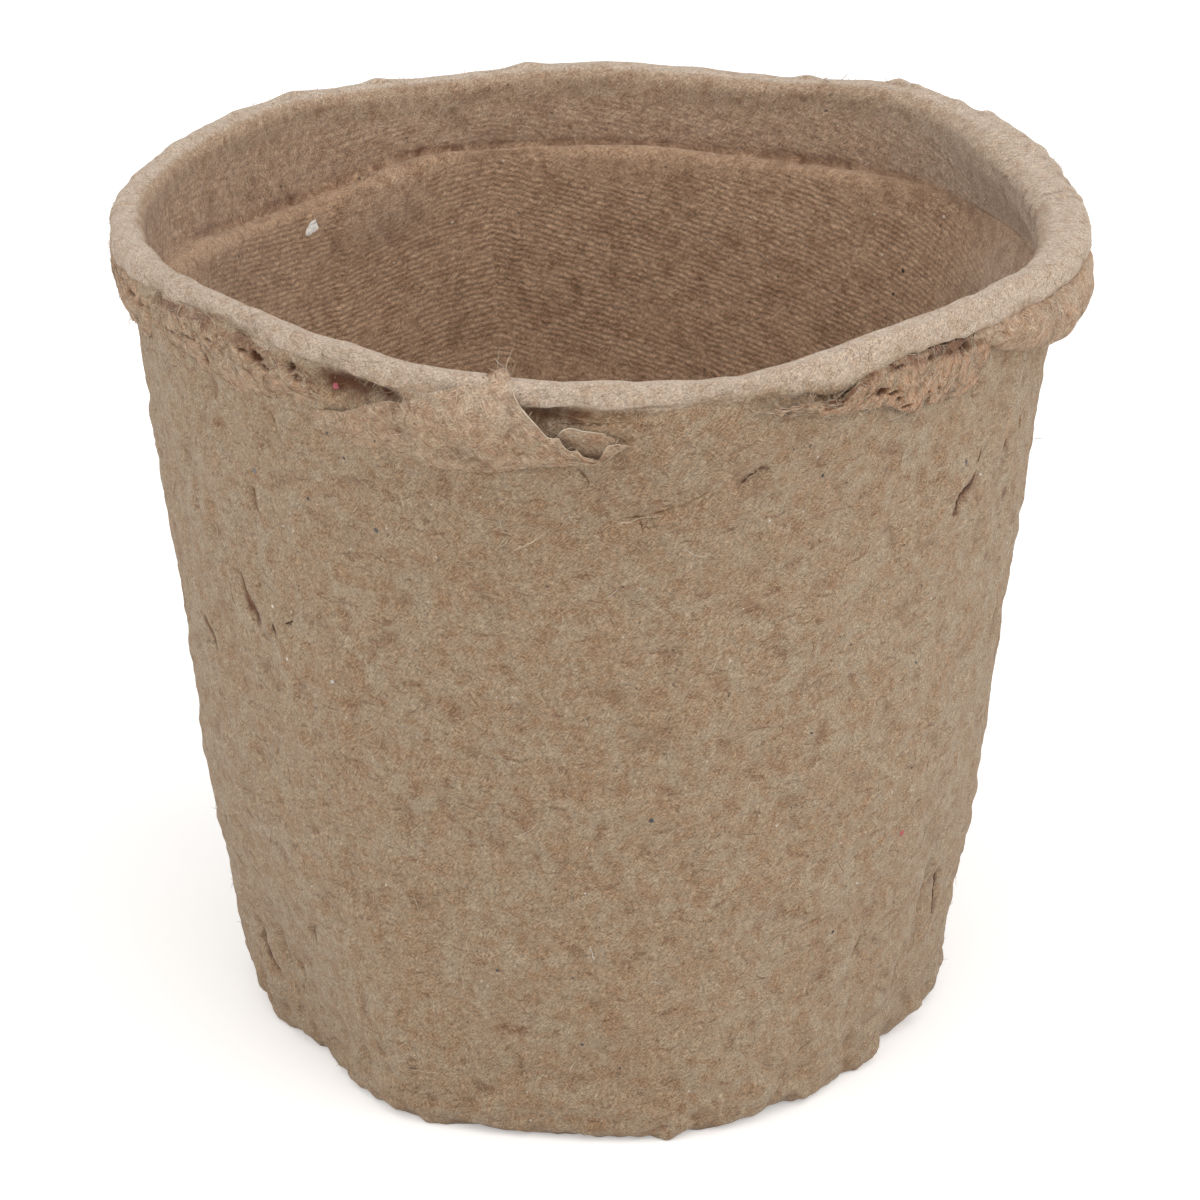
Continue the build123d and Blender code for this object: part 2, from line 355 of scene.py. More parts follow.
def pulpMaterial(name, look):
    material, tree, shader = newMaterial(name)
    place = addNode(tree, "TexCoord", {})
    spot = addNode(tree, "VectorMath", {0: place.outputs["Object"], "Scale": 1 / mm}, operation="SCALE")
    flat = addNode(tree, "UVMap", {}, uv_map="FlatMap")
    tone = {key: hexColour(value) for key, value in look.items() if isinstance(value, str)}
    zone = {}
    for key in ("pale", "inner", "marks", "hollowShade", "raw", "stainAndShade"):
        zone[key] = addNode(tree, "Attribute", {}, attribute_name=key).outputs["Fac"]
    cloud = {}
    for key, (size, detail, twist) in look["clouds"].items():
        inputs = {"Vector": spot, "Scale": 1 / size, "Detail": detail, "Distortion": twist}
        cloud[key] = addNode(tree, "TexNoise", inputs)

    # zones get ragged edges
    ragged = {}
    centred = addNode(tree, "Math", {0: cloud["edge"], 1: 0.5}, operation="SUBTRACT")
    for key, (spread, low, high) in look["edges"].items():
        torn = addNode(tree, "Math", {0: centred, 1: spread, 2: zone[key]}, operation="MULTIPLY_ADD")
        ragged[key] = addNode(tree, "MapRange", {"Value": torn, "From Min": low, "From Max": high})

    # nicks, and felt: fibres lie all ways and bend, drawn as noise stretched in four directions
    inputs = {0: cloud["bend"].outputs["Color"], 1: (look["bend"], look["bend"], 0), 2: flat}
    bent = addNode(tree, "VectorMath", inputs, operation="MULTIPLY_ADD")
    strokes = [(flat, 0, look["nickSize"], look["nickNoise"])]
    for turn, stretch in look["fibreWays"]:
        size = (look["fibreLength"] * stretch, look["fibreWidth"])
        strokes.append((bent, turn, size, look["fibreNoise"]))
    drawn = []
    for ground, turn, size, (detail, twist) in strokes:
        inputs = {"Vector": ground, "Rotation": (0, 0, turn), "Scale": (*size, 1)}
        laid = addNode(tree, "Mapping", inputs, vector_type="TEXTURE")
        inputs = {"Vector": laid, "Scale": 1.0, "Detail": detail, "Distortion": twist}
        drawn.append(addNode(tree, "TexNoise", inputs, noise_dimensions="2D"))
    nick, *felt = drawn
    feltSum = felt[0]
    for layer in felt[1:]:
        feltSum = addNode(tree, "Math", {0: feltSum, 1: layer}, operation="ADD")

    # how much of each shows, by the value of its noise; the smooth lip and inside have no nicks
    smooth = addNode(tree, "Math", {0: zone["inner"], 1: zone["pale"]}, operation="MAXIMUM")
    bare = addNode(tree, "Math", {0: look["nickShare"], 1: smooth}, operation="SUBTRACT", use_clamp=True)
    share = {}
    for key, value, least, most in (
        ("plate", cloud["plate"], 0.0, look["plateShare"]),
        ("mottle", cloud["mottle"], 0.0, look["redBrownShare"]),
        ("nick", nick, 0.0, bare),
        ("felt", feltSum, *look["feltTone"]),
        ("grain", cloud["grain"], *look["grainTone"]),
        ("paleFibre", felt[0], 0.0, look["fibreShare"]),
        ("crossFibre", felt[1], 0.0, look["fibreShare"]),
        ("brownFibre", felt[2], 0.0, look["fibreShare"]),
        ("worn", cloud["plate"], look["wornMarks"], 1.0),
        ("calm", zone["inner"], 1.0, look["insideFelt"]),
    ):
        low, high = look["ranges"][key]
        inputs = {"Value": value, "From Min": low, "From Max": high, "To Min": least, "To Max": most}
        share[key] = addNode(tree, "MapRange", inputs)
    paleFibres = addNode(tree, "Math", {0: share["paleFibre"], 1: share["crossFibre"]}, operation="MAXIMUM")
    # painted shade in the hollows of the relief, and under the lip at the front
    hollowShades = addNode(tree, "Math", {0: zone["hollowShade"], 1: look["hollowShadeShare"]}, operation="MULTIPLY")

    # specks of print and filler: a few cells of a spotted pattern, dark or white, each with its own size
    wandered = flat
    for key, amount in (("bend", look["wander"]), ("mottle", look["stray"])):
        inputs = {0: cloud[key].outputs["Color"], 1: amount, 2: wandered}
        wandered = addNode(tree, "VectorMath", inputs, operation="MULTIPLY_ADD")
    inputs = {"Vector": wandered, "Scale": 1 / look["speckSpacing"]}
    cells = addNode(tree, "TexVoronoi", inputs, voronoi_dimensions="2D")
    chance = addNode(tree, "SeparateColor", {"Color": cells.outputs["Color"]})
    size = addNode(tree, "Math", {0: chance.outputs["Red"], 1: look["speckSize"]}, operation="MULTIPLY")
    within = addNode(tree, "Math", {0: cells.outputs["Distance"], 1: size}, operation="LESS_THAN")
    for key, test, limit in look["specks"]:
        picked = addNode(tree, "Math", {0: chance.outputs["Green"], 1: limit}, operation=test)
        speck = addNode(tree, "Math", {0: within, 1: picked}, operation="MULTIPLY")
        share[key] = addNode(tree, "Math", {0: speck, 1: look["speckShare"]}, operation="MULTIPLY")

    # marks of the forming screen: rows of short pads, each row half a pad on from the last
    along = addNode(tree, "SeparateXYZ", {0: wandered})
    waves = []
    for axis, repeats, wave in ((0, 1, "SINE"), (1, 1, "SINE"), (1, 2, "COSINE")):
        turns = 2 * math.pi * repeats / look["screenPitch"][axis]
        angle = addNode(tree, "Math", {0: along.outputs[axis], 1: turns}, operation="MULTIPLY")
        waves.append(addNode(tree, "Math", {0: angle}, operation=wave))
    staggered = addNode(tree, "Math", {0: waves[0], 1: waves[1]}, operation="MULTIPLY")
    rowGaps = addNode(tree, "Math", {0: waves[2], 1: -look["rowShare"]}, operation="MULTIPLY")
    inputs = {0: staggered, 1: look["padShare"], 2: rowGaps}
    weave = addNode(tree, "Math", inputs, operation="MULTIPLY_ADD")
    markShare = addNode(tree, "Math", {0: zone["marks"], 1: share["worn"]}, operation="MULTIPLY")
    pads = addNode(tree, "Math", {0: weave, 1: markShare}, operation="MULTIPLY")
    low, high = -look["padRange"], look["padRange"]
    dim, bright = look["padTone"]
    inputs = {"Value": pads, "From Min": low, "From Max": high, "To Min": dim, "To Max": bright}
    padTone = addNode(tree, "MapRange", inputs)

    # wall: tan, greyer plates, redder mottle; the inside is browner and lighter, its lightness partly
    # painted light for the light that reaches into the pot; the pressed lip paler and more even
    for made, amount, under, over in (
        ("plated", "plate", "tan", "plate"),
        ("wall", "mottle", "plated", "redBrown"),
        ("bore", "mottle", "inside", "insideDark"),
        ("pressed", "mottle", "lip", "lipWarm"),
    ):
        inputs = {mixShare: share[amount], mixA: tone[under], mixB: tone[over]}
        tone[made] = addNode(tree, "Mix", inputs, data_type="RGBA").outputs[mixOut]

    # over the wall, in this order: torn places are rawer, hollows get painted shade, nicks darker, and the
    # painted shade and stains of pockets, creases and holes go on last
    colour = tone["wall"]
    for amount, over, blend in (
        (zone["inner"], tone["bore"], "MIX"),
        (ragged["pale"], tone["pressed"], "MIX"),
        (ragged["raw"], tone["raw"], "MIX"),
        (hollowShades, tone["hollowShade"], "MIX"),
        (share["nick"], tone["nick"], "MIX"),
        (share["calm"], share["felt"], "MULTIPLY"),
        (share["calm"], share["grain"], "MULTIPLY"),
        (paleFibres, tone["paleFibre"], "MIX"),
        (share["brownFibre"], tone["brownFibre"], "MIX"),
        (share["darkSpeck"], tone["darkSpeck"], "MIX"),
        (share["whiteSpeck"], tone["whiteSpeck"], "MIX"),
        (1.0, padTone, "MULTIPLY"),
        (ragged["stainAndShade"], tone["stainAndShade"], "MIX"),
    ):
        inputs = {mixShare: amount, mixA: colour, mixB: over}
        colour = addNode(tree, "Mix", inputs, data_type="RGBA", blend_type=blend).outputs[mixOut]

    # relief finer than the mesh
    height = addNode(tree, "Math", {0: cloud["mottle"], 1: look["mottleDepth"]}, operation="MULTIPLY")
    for layer, depth in (
        (feltSum, look["feltDepth"]),
        (cloud["grain"], look["grainDepth"]),
        (share["nick"], look["nickDepth"]),
        (pads, look["screenDepth"]),
    ):
        height = addNode(tree, "Math", {0: layer, 1: depth, 2: height}, operation="MULTIPLY_ADD")
    bump = addNode(tree, "Bump", {"Strength": 1.0, "Distance": mm, "Height": height})
    finish = {
        "Base Color": colour,
        "Normal": bump,
        "Roughness": look["roughness"],
        "IOR": look["ior"],
        "Specular IOR Level": look["specular"],
        "Sheen Weight": look["sheen"],
        "Sheen Tint": tone["sheenTint"],
    }
    fillInputs(tree, shader, finish)
    return material


# Torn pulp: the inside of the felt where a ply came away. Paler fibres over browner pits with more painted
# shade, softer.
tornLook = {
    **pulpLook,
    "tan": "#ad9276",
    "plate": "#b49e86",
    "plateShare": 0.5,
    "redBrown": "#986f52",
    "redBrownShare": 0.7,
    "hollowShade": "#74523a",
    "hollowShadeShare": 0.7,
    "raw": "#b99172",
    "paleFibre": "#dac9b0",
    "fibreShare": 0.58,
    "fibreLength": 0.8,
    "feltTone": (0.7, 1.3),
    "mottleDepth": 0.17,
    "feltDepth": 0.034,
}
mouldedPulp = pulpMaterial("moulded pulp, screen drawn", pulpLook)
tornPulp = pulpMaterial("moulded pulp, torn ply", tornLook)

# Paler and darker places along a fibre: size in mm, detail, values where they start and are full, tones
dyeCloud = {"size": 0.6, "detail": 2.0, "range": (0.3, 0.7), "tone": (0.8, 1.15)}


def dyedMaterial(name, roughness, specular):
    material, tree, shader = newMaterial(name)
    dye = addNode(tree, "Attribute", {}, attribute_name="dye")
    place = addNode(tree, "TexCoord", {})
    scale = 1 / (dyeCloud["size"] * mm)
    inputs = {"Vector": place.outputs["Object"], "Scale": scale, "Detail": dyeCloud["detail"]}
    cloud = addNode(tree, "TexNoise", inputs)
    (low, high), (dim, bright) = dyeCloud["range"], dyeCloud["tone"]
    inputs = {"Value": cloud, "From Min": low, "From Max": high, "To Min": dim, "To Max": bright}
    tone = addNode(tree, "MapRange", inputs)
    inputs = {mixShare: 1.0, mixA: dye.outputs["Color"], mixB: tone}
    dyed = addNode(tree, "Mix", inputs, data_type="RGBA", blend_type="MULTIPLY").outputs[mixOut]
    fillInputs(tree, shader, {"Base Color": dyed, "Roughness": roughness})
    fillInputs(tree, shader, {"IOR": pulpLook["ior"], "Specular IOR Level": specular})
    return material


# Loose fibre: single strands of paper and jute that stand off the felt. Thin, pale to brown, dull.
looseFibre = dyedMaterial("loose fibre, air dried", roughness=0.85, specular=0.2)
# Inclusions: bits of printed paper, foil and bark from the waste paper. Small, dark, white or red.
inclusion = dyedMaterial("waste paper bits, pulped", roughness=0.7, specular=0.3)
print("materials made")

# The moulding: one skin from the floor inside, up, over the lip, down and under to the middle of the base
moulding = {
    "columns": 540,
    "wall": 2.7,
    "collar": 1.6,
    "collarDraft": 0.3,
    "floor": 2.4,
    "corner": 3.0,
    "heel": 2.0,
    "lipCrown": 1.2,
    "lipTurn": 0.8,
    "ledgeRound": 0.9,
    "arcPoints": 9,
    "seed": 11,
    "spacing": {  # between rows, by stretch
        "floor": 2.0,
        "corner": 0.8,
        "innerWall": 1.2,
        "ledge": 0.25,
        "collarIn": 0.5,
        "lip": 0.22,
        "collarOut": 0.3,
        "wallOut": 0.46,
        "heel": 0.4,
        "under": 2.1,
    },
}


def boreRadius(height):
    return wallRadius(height) - moulding["wall"]


def arc(centre, radius, start, end):
    turns = np.radians(np.linspace(start, end, moulding["arcPoints"]))
    return [(centre[0] + radius * math.cos(t), centre[1] + radius * math.sin(t)) for t in turns]


collarBore = wallTopRadius - moulding["collar"]
ledgeBore = collarBore - moulding["collarDraft"]


def mouldingSection():
    # points of each stretch as radius and height
    leanDegrees = math.degrees(lean)
    floor, corner, heel = moulding["floor"], moulding["corner"], moulding["heel"]
    cornerMiddle = (boreRadius(wallFoot) - corner / math.cos(lean), floor + corner)
    heelMiddle = (wallRadius(heel) - heel / math.cos(lean), heel)
    crown, turn, shoulder = moulding["lipCrown"], moulding["lipTurn"], moulding["ledgeRound"]
    shoulderMiddle = (boreRadius(ledgeLevel) + shoulder, ledgeLevel - shoulder)
    seams = {
        "foot": (boreRadius(wallFoot), wallFoot),
        "ledge": (ledgeBore, ledgeLevel),
        "lipIn": (collarBore, lipBase),
        "lipOut": (wallTopRadius, lipBase),
        "ledgeOut": (wallRadius(ledgeLevel), ledgeLevel),
        "footOut": (wallRadius(wallFoot), wallFoot),
    }
    lipTop = potHeight - crown
    lip = arc((collarBore + crown, lipTop), crown, 180, 90)
    lip += arc((rimRadius - crown, lipTop), crown, 90, 0)
    lip += arc((rimRadius - turn, lipBase + turn), turn, 0, -90)
    return {
        "floor": [(0, floor), (cornerMiddle[0], floor)],
        "corner": arc(cornerMiddle, corner, -90, -leanDegrees) + [seams["foot"]],
        "innerWall": [seams["foot"], (boreRadius(shoulderMiddle[1]), shoulderMiddle[1])],
        "ledge": arc(shoulderMiddle, shoulder, 180, 90) + [seams["ledge"]],
        "collarIn": [seams["ledge"], seams["lipIn"]],
        "lip": [seams["lipIn"], *lip, seams["lipOut"]],
        "collarOut": [seams["lipOut"], seams["ledgeOut"]],
        "wallOut": [seams["ledgeOut"], seams["footOut"]],
        "heel": [seams["footOut"]] + arc(heelMiddle, heel, -leanDegrees, -90),
        "under": [(heelMiddle[0], 0), (0, 0)],
    }


def layRows(section):
    # rows at even spacing; rowSpan holds the first and last row of each stretch
    rows, zones, rowSpan = [], [], {}
    for zone, points in section.items():
        points = np.array(points, dtype=float)
        steps = np.r_[0, np.cumsum(np.linalg.norm(np.diff(points, axis=0), axis=1))]
        count = max(2, math.ceil(steps[-1] / moulding["spacing"][zone]) + 1)
        at = np.linspace(0, steps[-1], count)
        path = np.stack([np.interp(at, steps, points[:, 0]), np.interp(at, steps, points[:, 1])], axis=1)
        first = len(rows) - 1 if rows else 0
        rows.extend(path[1:] if rows else path)
        zones.extend([zone] * (len(rows) - len(zones)))
        rowSpan[zone] = (first, len(rows) - 1)
    return np.array(rows), np.array(zones), rowSpan


rows, rowZones, rowSpan = layRows(mouldingSection())
columnAzimuth = np.linspace(-180, 180, moulding["columns"], endpoint=False)
azimuthGrid = np.broadcast_to(columnAzimuth, (len(rows), len(columnAzimuth)))
pathLength = np.r_[0, np.cumsum(np.linalg.norm(np.diff(rows, axis=0), axis=1))]

# Relief of each stretch: heights in mm of lumps that are 11, 4.5, 2.3 and 1.3 mm across
lumpSizes = (11.0, 4.5, 2.3, 1.3)
reliefOf = {
    "floor": (0.2, 0.15, 0.1, 0.03),
    "corner": (0.2, 0.15, 0.1, 0.03),
    "innerWall": (0.3, 0.14, 0.05, 0.02),
    "ledge": (0.25, 0.2, 0.1, 0.03),
    "collarIn": (0.2, 0.12, 0.06, 0.02),
    "lip": (0.16, 0.2, 0.1, 0.04),
    "collarOut": (0.25, 0.2, 0.22, 0.16),
    "wallOut": (0.34, 0.22, 0.22, 0.15),
    "heel": (0.3, 0.4, 0.4, 0.3),
    "under": (0.1, 0.12, 0.08, 0.03),
}

# The lip around the rim: overhang it lacks, rise of its lower edge, and thickness it lacks inside
lipShape = {
    "thin": [
        (-180, 0.3), (-100, 0.2), (-82, 0.3), (-68, 0.8), (-40, 0.9), (-25, 0.8), (0, 0.8), (20, 0.9),
        (30, 0.8), (48, 0.6), (62, 0.4), (74, -0.2), (84, -0.6), (98, -0.3), (116, -0.2), (132, 0.2),
        (140, 0.4),
    ],
    "raise": [
        (-180, 0.3), (-100, 0.3), (-76, 0.2), (-66, 0.7), (-58, 1.1), (-48, 1.0), (-38, 0.7), (-30, 0.8),
        (-25, 0.3), (-20, 0.8), (-8, 0.8), (0, 1.0), (11, 1.15), (16, 1.05), (20, 0.7), (24, 0.35),
        (28, -0.6), (30.5, -1.1), (33, -0.25), (36, 0.2), (42, 0.15), (49, -0.25), (62, -0.2), (75, 0.0),
        (100, 0.3),
    ],
    "inset": [
        (-180, 0.0), (-90, 0.0), (-72, 0.5), (-60, 0.8), (-45, 0.4), (-30, 0.1), (-22, 0.5), (20, 0.6),
        (27, 0.0), (40, 0.0), (54, 0.7), (62, 0.5), (74, 0.1), (90, -0.7), (102, -1.3), (122, -1.4),
        (134, -0.6), (146, 0.0),
    ],
    "nibs": [  # ragged bits that stand up from the back of the rim
        (140.6, 0.5, 1.2), (138.2, 0.25, 0.9), (131.0, 0.2, 1.1), (125.5, 0.25, 0.9), (113.5, 0.2, 1.0),
        (152.5, 0.3, 1.4), (-139.5, 0.35, 2.2), (-152.0, 0.25, 1.4), (-171.0, 0.2, 2.0),
        (-112.0, 0.15, 0.9),
    ],
    "edgeLumps": [(2.6, 0.16, 31), (1.2, 0.14, 32)],  # along the lower edge: size, height, seed
    "lipUnderShade": [(31, 0.8, 14)],  # painted shade: the pale skin stops higher up the lip where its lower part turns under
    "paleInside": (0.2, 0.1, 1.1),  # noise, and mm from the bore where the pale skin starts and is full
    "paleOutside": (0.7, 0.45, -0.9, 1.2),  # coarse and fine noise, and mm from the lip's base
    "insidePale": [(-180, 0.3), (-150, 0.32), (-95, 0.15), (80, 0.35), (96, 0.65), (128, 0.6), (145, 0.32)],
}
# Wrinkles across the lip: azimuth at its inner edge, degrees per mm outward, depth, half width, painted
# shade in the groove
lipWrinkles = [
    (100.6, 1.5, 0.14, 0.9, 0.4),
    (98.0, 1.2, 0.10, 0.8, 0.3),
    (95.4, 1.1, 0.18, 0.9, 0.45),
    (92.8, 1.0, 0.14, 0.8, 0.4),
    (-49.0, 1.4, 0.10, 0.8, 0.35),
]

# Pressed-in and torn places outside: azimuth, height, depth, half width in degrees, half height, painted
# shade and stain
pockets = [
    (-31.0, 66.6, 0.9, 4.4, 1.2, 1.0),
    (-25.5, 67.0, 0.9, 3.0, 0.6, 1.0),
    (-6.2, 67.4, 0.8, 2.2, 1.2, 0.55),
    (-2.6, 67.4, 0.5, 3.6, 0.9, 0.6),
    (3.2, 67.7, 0.3, 3.4, 0.5, 0.5),
    (-44.2, 66.8, 0.7, 1.6, 0.35, 0.9),
    (-42.4, 66.5, 0.6, 0.9, 0.3, 0.8),
    (-38.4, 66.8, 0.8, 0.9, 0.5, 0.95),
    (-75.3, 66.3, 0.4, 0.9, 0.4, 0.6),
    (-71.3, 66.0, 0.8, 0.8, 0.4, 0.95),
    (-68.6, 65.3, 0.8, 0.7, 0.65, 0.95),
    (24.4, 68.1, 0.5, 0.9, 0.5, 0.7),
    (52.0, 66.0, 0.7, 1.4, 0.6, 0.8),
]

# Creases and slits outside: depth, half width, painted shade and stain in the groove, then points as azimuth
# and height
creases = [
    (0.25, 0.40, 0.3, [(-1.7, 62.9), (-0.7, 61.8), (-0.4, 61.5), (-1.0, 60.9)]),
    (0.28, 0.55, 0.15, [(0.4, 57.4), (6.0, 58.5), (11.3, 59.6), (17.0, 60.9), (22.0, 62.3)]),
    (0.30, 0.45, 0.55, [(17.4, 60.3), (18.6, 60.9), (20.5, 61.6)]),
    (0.25, 0.40, 0.3, [(5.5, 58.4), (5.9, 57.0)]),
    (0.30, 0.42, 0.95, [(54.2, 51.5), (54.6, 52.2), (55.5, 52.8), (56.9, 53.4), (58.7, 53.7)]),
    (0.18, 0.60, 0.15, [(-17.0, 57.6), (-10.0, 56.8), (-4.0, 57.4)]),
    (0.15, 0.45, 0.3, [(4.0, 68.0), (12.0, 68.3), (18.0, 68.0), (24.0, 67.3)]),
    (0.40, 0.50, 0.45, [(27.0, 66.6), (36.0, 67.3), (45.0, 66.6), (51.0, 66.1), (55.0, 65.7)]),
    (0.25, 0.40, 0.5, [(-54.4, 65.6), (-54.2, 64.0)]),
    (0.20, 0.50, 0.3, [(-45.4, 62.8), (-43.3, 60.9), (-42.6, 58.9)]),
    (0.20, 0.60, 0.25, [(-47.3, 58.0), (-50.7, 52.3), (-50.2, 45.2)]),
    (0.30, 0.50, 0.4, [(-64.6, 11.5), (-64.0, 8.0)]),
    (0.30, 0.50, 0.4, [(65.9, 17.5), (65.0, 12.0)]),
    (0.20, 0.50, 0.4, [(44.9, 13.1), (45.8, 14.0), (46.3, 14.8)]),
    (0.20, 0.45, 0.9, [(-55.6, 46.1), (-54.4, 45.3), (-53.1, 44.0), (-51.7, 42.6)]),
    (0.18, 0.45, 0.85, [(-67.3, 39.5), (-66.7, 38.5), (-65.5, 37.4)]),
    (0.25, 0.40, 0.6, [(-48.5, 43.0), (-47.8, 42.2)]),
    (0.25, 0.40, 0.55, [(-50.0, 54.3), (-50.0, 53.3), (-49.8, 52.2)]),
    (0.25, 0.40, 0.5, [(-68.6, 53.9), (-66.1, 53.6)]),
    (0.20, 0.50, 0.4, [(-39.1, 54.5), (-35.4, 53.7), (-29.4, 54.3)]),
    (0.20, 0.60, 0.4, [(-31.5, 58.5), (-27.9, 58.4), (-24.3, 57.8)]),
    (0.40, 0.50, 0.8, [(-72.2, 9.9), (-71.8, 8.1), (-68.7, 6.7)]),
    (0.25, 0.40, 0.55, [(-49.0, 15.0), (-49.1, 13.4)]),
    (0.25, 0.40, 0.5, [(-59.5, 8.6), (-58.8, 6.9)]),
    (0.30, 0.80, 0.3, [(-39.9, 5.6), (-39.4, 2.5)]),
    (0.25, 0.40, 0.55, [(-29.5, 3.1), (-28.2, 3.6)]),
    (0.40, 0.50, 0.7, [(70.1, 15.6), (70.8, 13.5), (72.0, 11.2)]),
    (0.20, 0.45, 0.45, [(49.7, 13.4), (50.2, 14.0)]),
    (0.20, 0.45, 0.45, [(61.3, 11.2), (61.6, 9.5)]),
    (0.20, 0.45, 0.55, [(67.6, 53.8), (67.7, 54.3), (67.3, 54.8)]),
    (0.20, 0.45, 0.5, [(69.4, 49.7), (69.7, 50.4)]),
    (0.20, 0.50, 0.7, [(76.7, 34.0), (78.4, 34.5), (78.9, 35.3)]),
]

# Raw torn places outside: azimuth, height, half width in degrees, half height, share
rawPlaces = [
    (-32.0, 65.0, 4.5, 0.9, 0.25),
    (-28.0, 66.6, 5.0, 1.0, 0.3),
    (-3.0, 67.2, 5.0, 1.2, 0.35),
    (66.5, 56.0, 1.2, 2.2, 0.6),
    (-42.0, 65.9, 3.0, 0.8, 0.4),
    (48.0, 65.5, 10.0, 1.6, 0.6),
    (-80.0, 64.5, 8.0, 1.5, 0.4),
    (-58.0, 66.6, 12.0, 1.2, 0.4),
]

# The ledge inside, as azimuth and height, and how far it stands in as a shelf at the left
ledgeLine = [
    (-180, 63.2), (-167, 63.6), (-157, 64.0), (-151, 63.4), (-145, 62.2), (-137, 61.3), (-130, 61.2),
    (-121, 61.7), (-114, 62.3), (-100, 62.6), (-60, 63.3), (60, 63.5), (97, 65.0), (114, 63.5),
    (126, 62.8), (143, 62.5), (154, 63.1), (165, 63.4),
]
ledgeReach = {
    "from": 36.0,
    "shelf": [(-118, 0.35, 14), (-152, 0.3, 10), (110, -0.95, 22)],
    "shelfDepth": 3.5,
}
# The crease behind the ledge, darkened with painted shade; azimuths between which it comes in at the left
# and goes out at the right
ledgeCrease = {
    "rise": 0.3,
    "depth": 0.1,
    "halfWidth": 0.65,
    "stainAndShade": 0.58,
    "uneven": 0.3,
    "left": (-98, -122),
    "right": (124, 142),
}
# Smooth pale swellings under the ledge: azimuth, height, size, half width in degrees, half height, paleness
insideBulges = [(-149, 60.3, 1.0, 9, 3.4, 0.32), (104, 59.0, 0.2, 15, 6.0, 0.4)]
# Levels between which the screen's marks come in and fade out again, and their share on the collar
screenMarks = {
    "fadeIn": (41, 46),
    "fadeOut": (63.4, 60.5),
    "fadeNoise": 2,
    "collar": 0.5,
    "collarFade": (68.2, 66.4),
    "collarNoise": 0.8,
    "lostOnBulges": 0.8,
}
# Upright corners that the screen left inside: azimuth, depth, half width in degrees
insideCorners = [(-166, 1.1, 15), (126, 0.7, 16)]
cornerRise = (8, 40)  # levels between which they come in
# Creases inside: depth, half width, painted shade in the groove, then points as azimuth and height
insideCreases = [
    (0.25, 0.5, 0.25, [(-160.5, 64.6), (-161.0, 68.0)]),
    (0.25, 0.5, 0.2, [(-165.0, 59.7), (-167.0, 46.4)]),
    (0.25, 0.5, 0.25, [(-118.5, 60.8), (-117.5, 58.0)]),
    (0.25, 0.7, 0.25, [(-141.0, 58.6), (-140.0, 54.5)]),
]
# Colours by relief: where the painted shade of hollows starts and is full, evenness and noise of stains and
# painted shade, evenness of raw places
skinTone = {"hollowShade": (0.25, 1.1), "stainAndShade": (0.85, 0.5), "raw": 0.6}
pocketSide = 1.5  # steepness of a pocket's side
smoothRows = 3  # on either side of a row where relief changes
insideZones = ("floor", "corner", "innerWall", "ledge", "collarIn")


def creaseGap(azimuth, height, path):
    # distance in mm from a crease, measured on the wall rolled out flat
    across = np.radians(azimuth) * wallRadius(height)
    nearest = np.full(across.shape, np.inf)
    for (startAz, startUp), (endAz, endUp) in zip(path[:-1], path[1:]):
        start = np.array([math.radians(startAz) * wallRadius(startUp), startUp])
        run = np.array([math.radians(endAz) * wallRadius(endUp), endUp]) - start
        along = ((across - start[0]) * run[0] + (height - start[1]) * run[1]) / (run @ run)
        along = np.clip(along, 0, 1)
        gap = np.hypot(across - start[0] - along * run[0], height - start[1] - along * run[1])
        nearest = np.minimum(nearest, gap)
    return nearest


def rowSmooth(values):
    width = 2 * smoothRows + 1
    return np.convolve(np.pad(values, smoothRows, mode="edge"), np.ones(width) / width, mode="valid")


def inZones(*names):
    return np.isin(rowZones, names)[:, None]


def shapeLip(radius, height):
    # the lip's overhang and lower edge change around the rim, and the collar follows both its edges
    acrossRim = np.radians(azimuthGrid) * rimRadius
    raised = alongRim(azimuthGrid, lipShape["raise"])
    raised = raised + gridNoise(acrossRim, 0 * acrossRim, lipShape["edgeLumps"], 0)
    inset = alongRim(azimuthGrid, lipShape["inset"])
    overhang = rimRadius - wallTopRadius
    drop = np.clip((potHeight - height) / (potHeight - lipBase), 0, 1)
    seam = wallFace(azimuthGrid, lipBase + raised)
    base = wallTopRadius + (seam - wallTopRadius) * drop
    reach = wallTopRadius + overhang - alongRim(azimuthGrid, lipShape["thin"])
    outer = base + (radius - wallTopRadius) / overhang * (reach - base)
    inner = wallTopRadius - (wallTopRadius - radius) * (1 - inset / moulding["collar"])
    isOuter = radius >= wallTopRadius - tiny
    lip = inZones("lip")
    collarShare = np.clip((height - ledgeLevel) / (lipBase - ledgeLevel), 0, 1)
    newRadius = np.where(lip, np.where(isOuter, outer, inner), radius)
    newRadius = np.where(inZones("collarIn"), radius + inset * collarShare, newRadius)
    newHeight = np.where(lip & isOuter, height + raised * drop, height)
    newHeight = np.where(inZones("collarOut"), height + raised * collarShare, newHeight)
    newRadius = np.where(inZones("collarOut", "wallOut"), wallFace(azimuthGrid, newHeight), newRadius)
    return newRadius, newHeight


def wallShare(radius):
    # 1 on the bore of the thick wall, 0 out at the collar
    return np.clip((ledgeBore - radius) / (ledgeBore - boreRadius(ledgeLevel)), 0, 1)


def awayFrom(azimuth, level, halfWidth, halfHeight, height):
    return (around(azimuthGrid, azimuth) / halfWidth) ** 2 + ((height - level) / halfHeight) ** 2


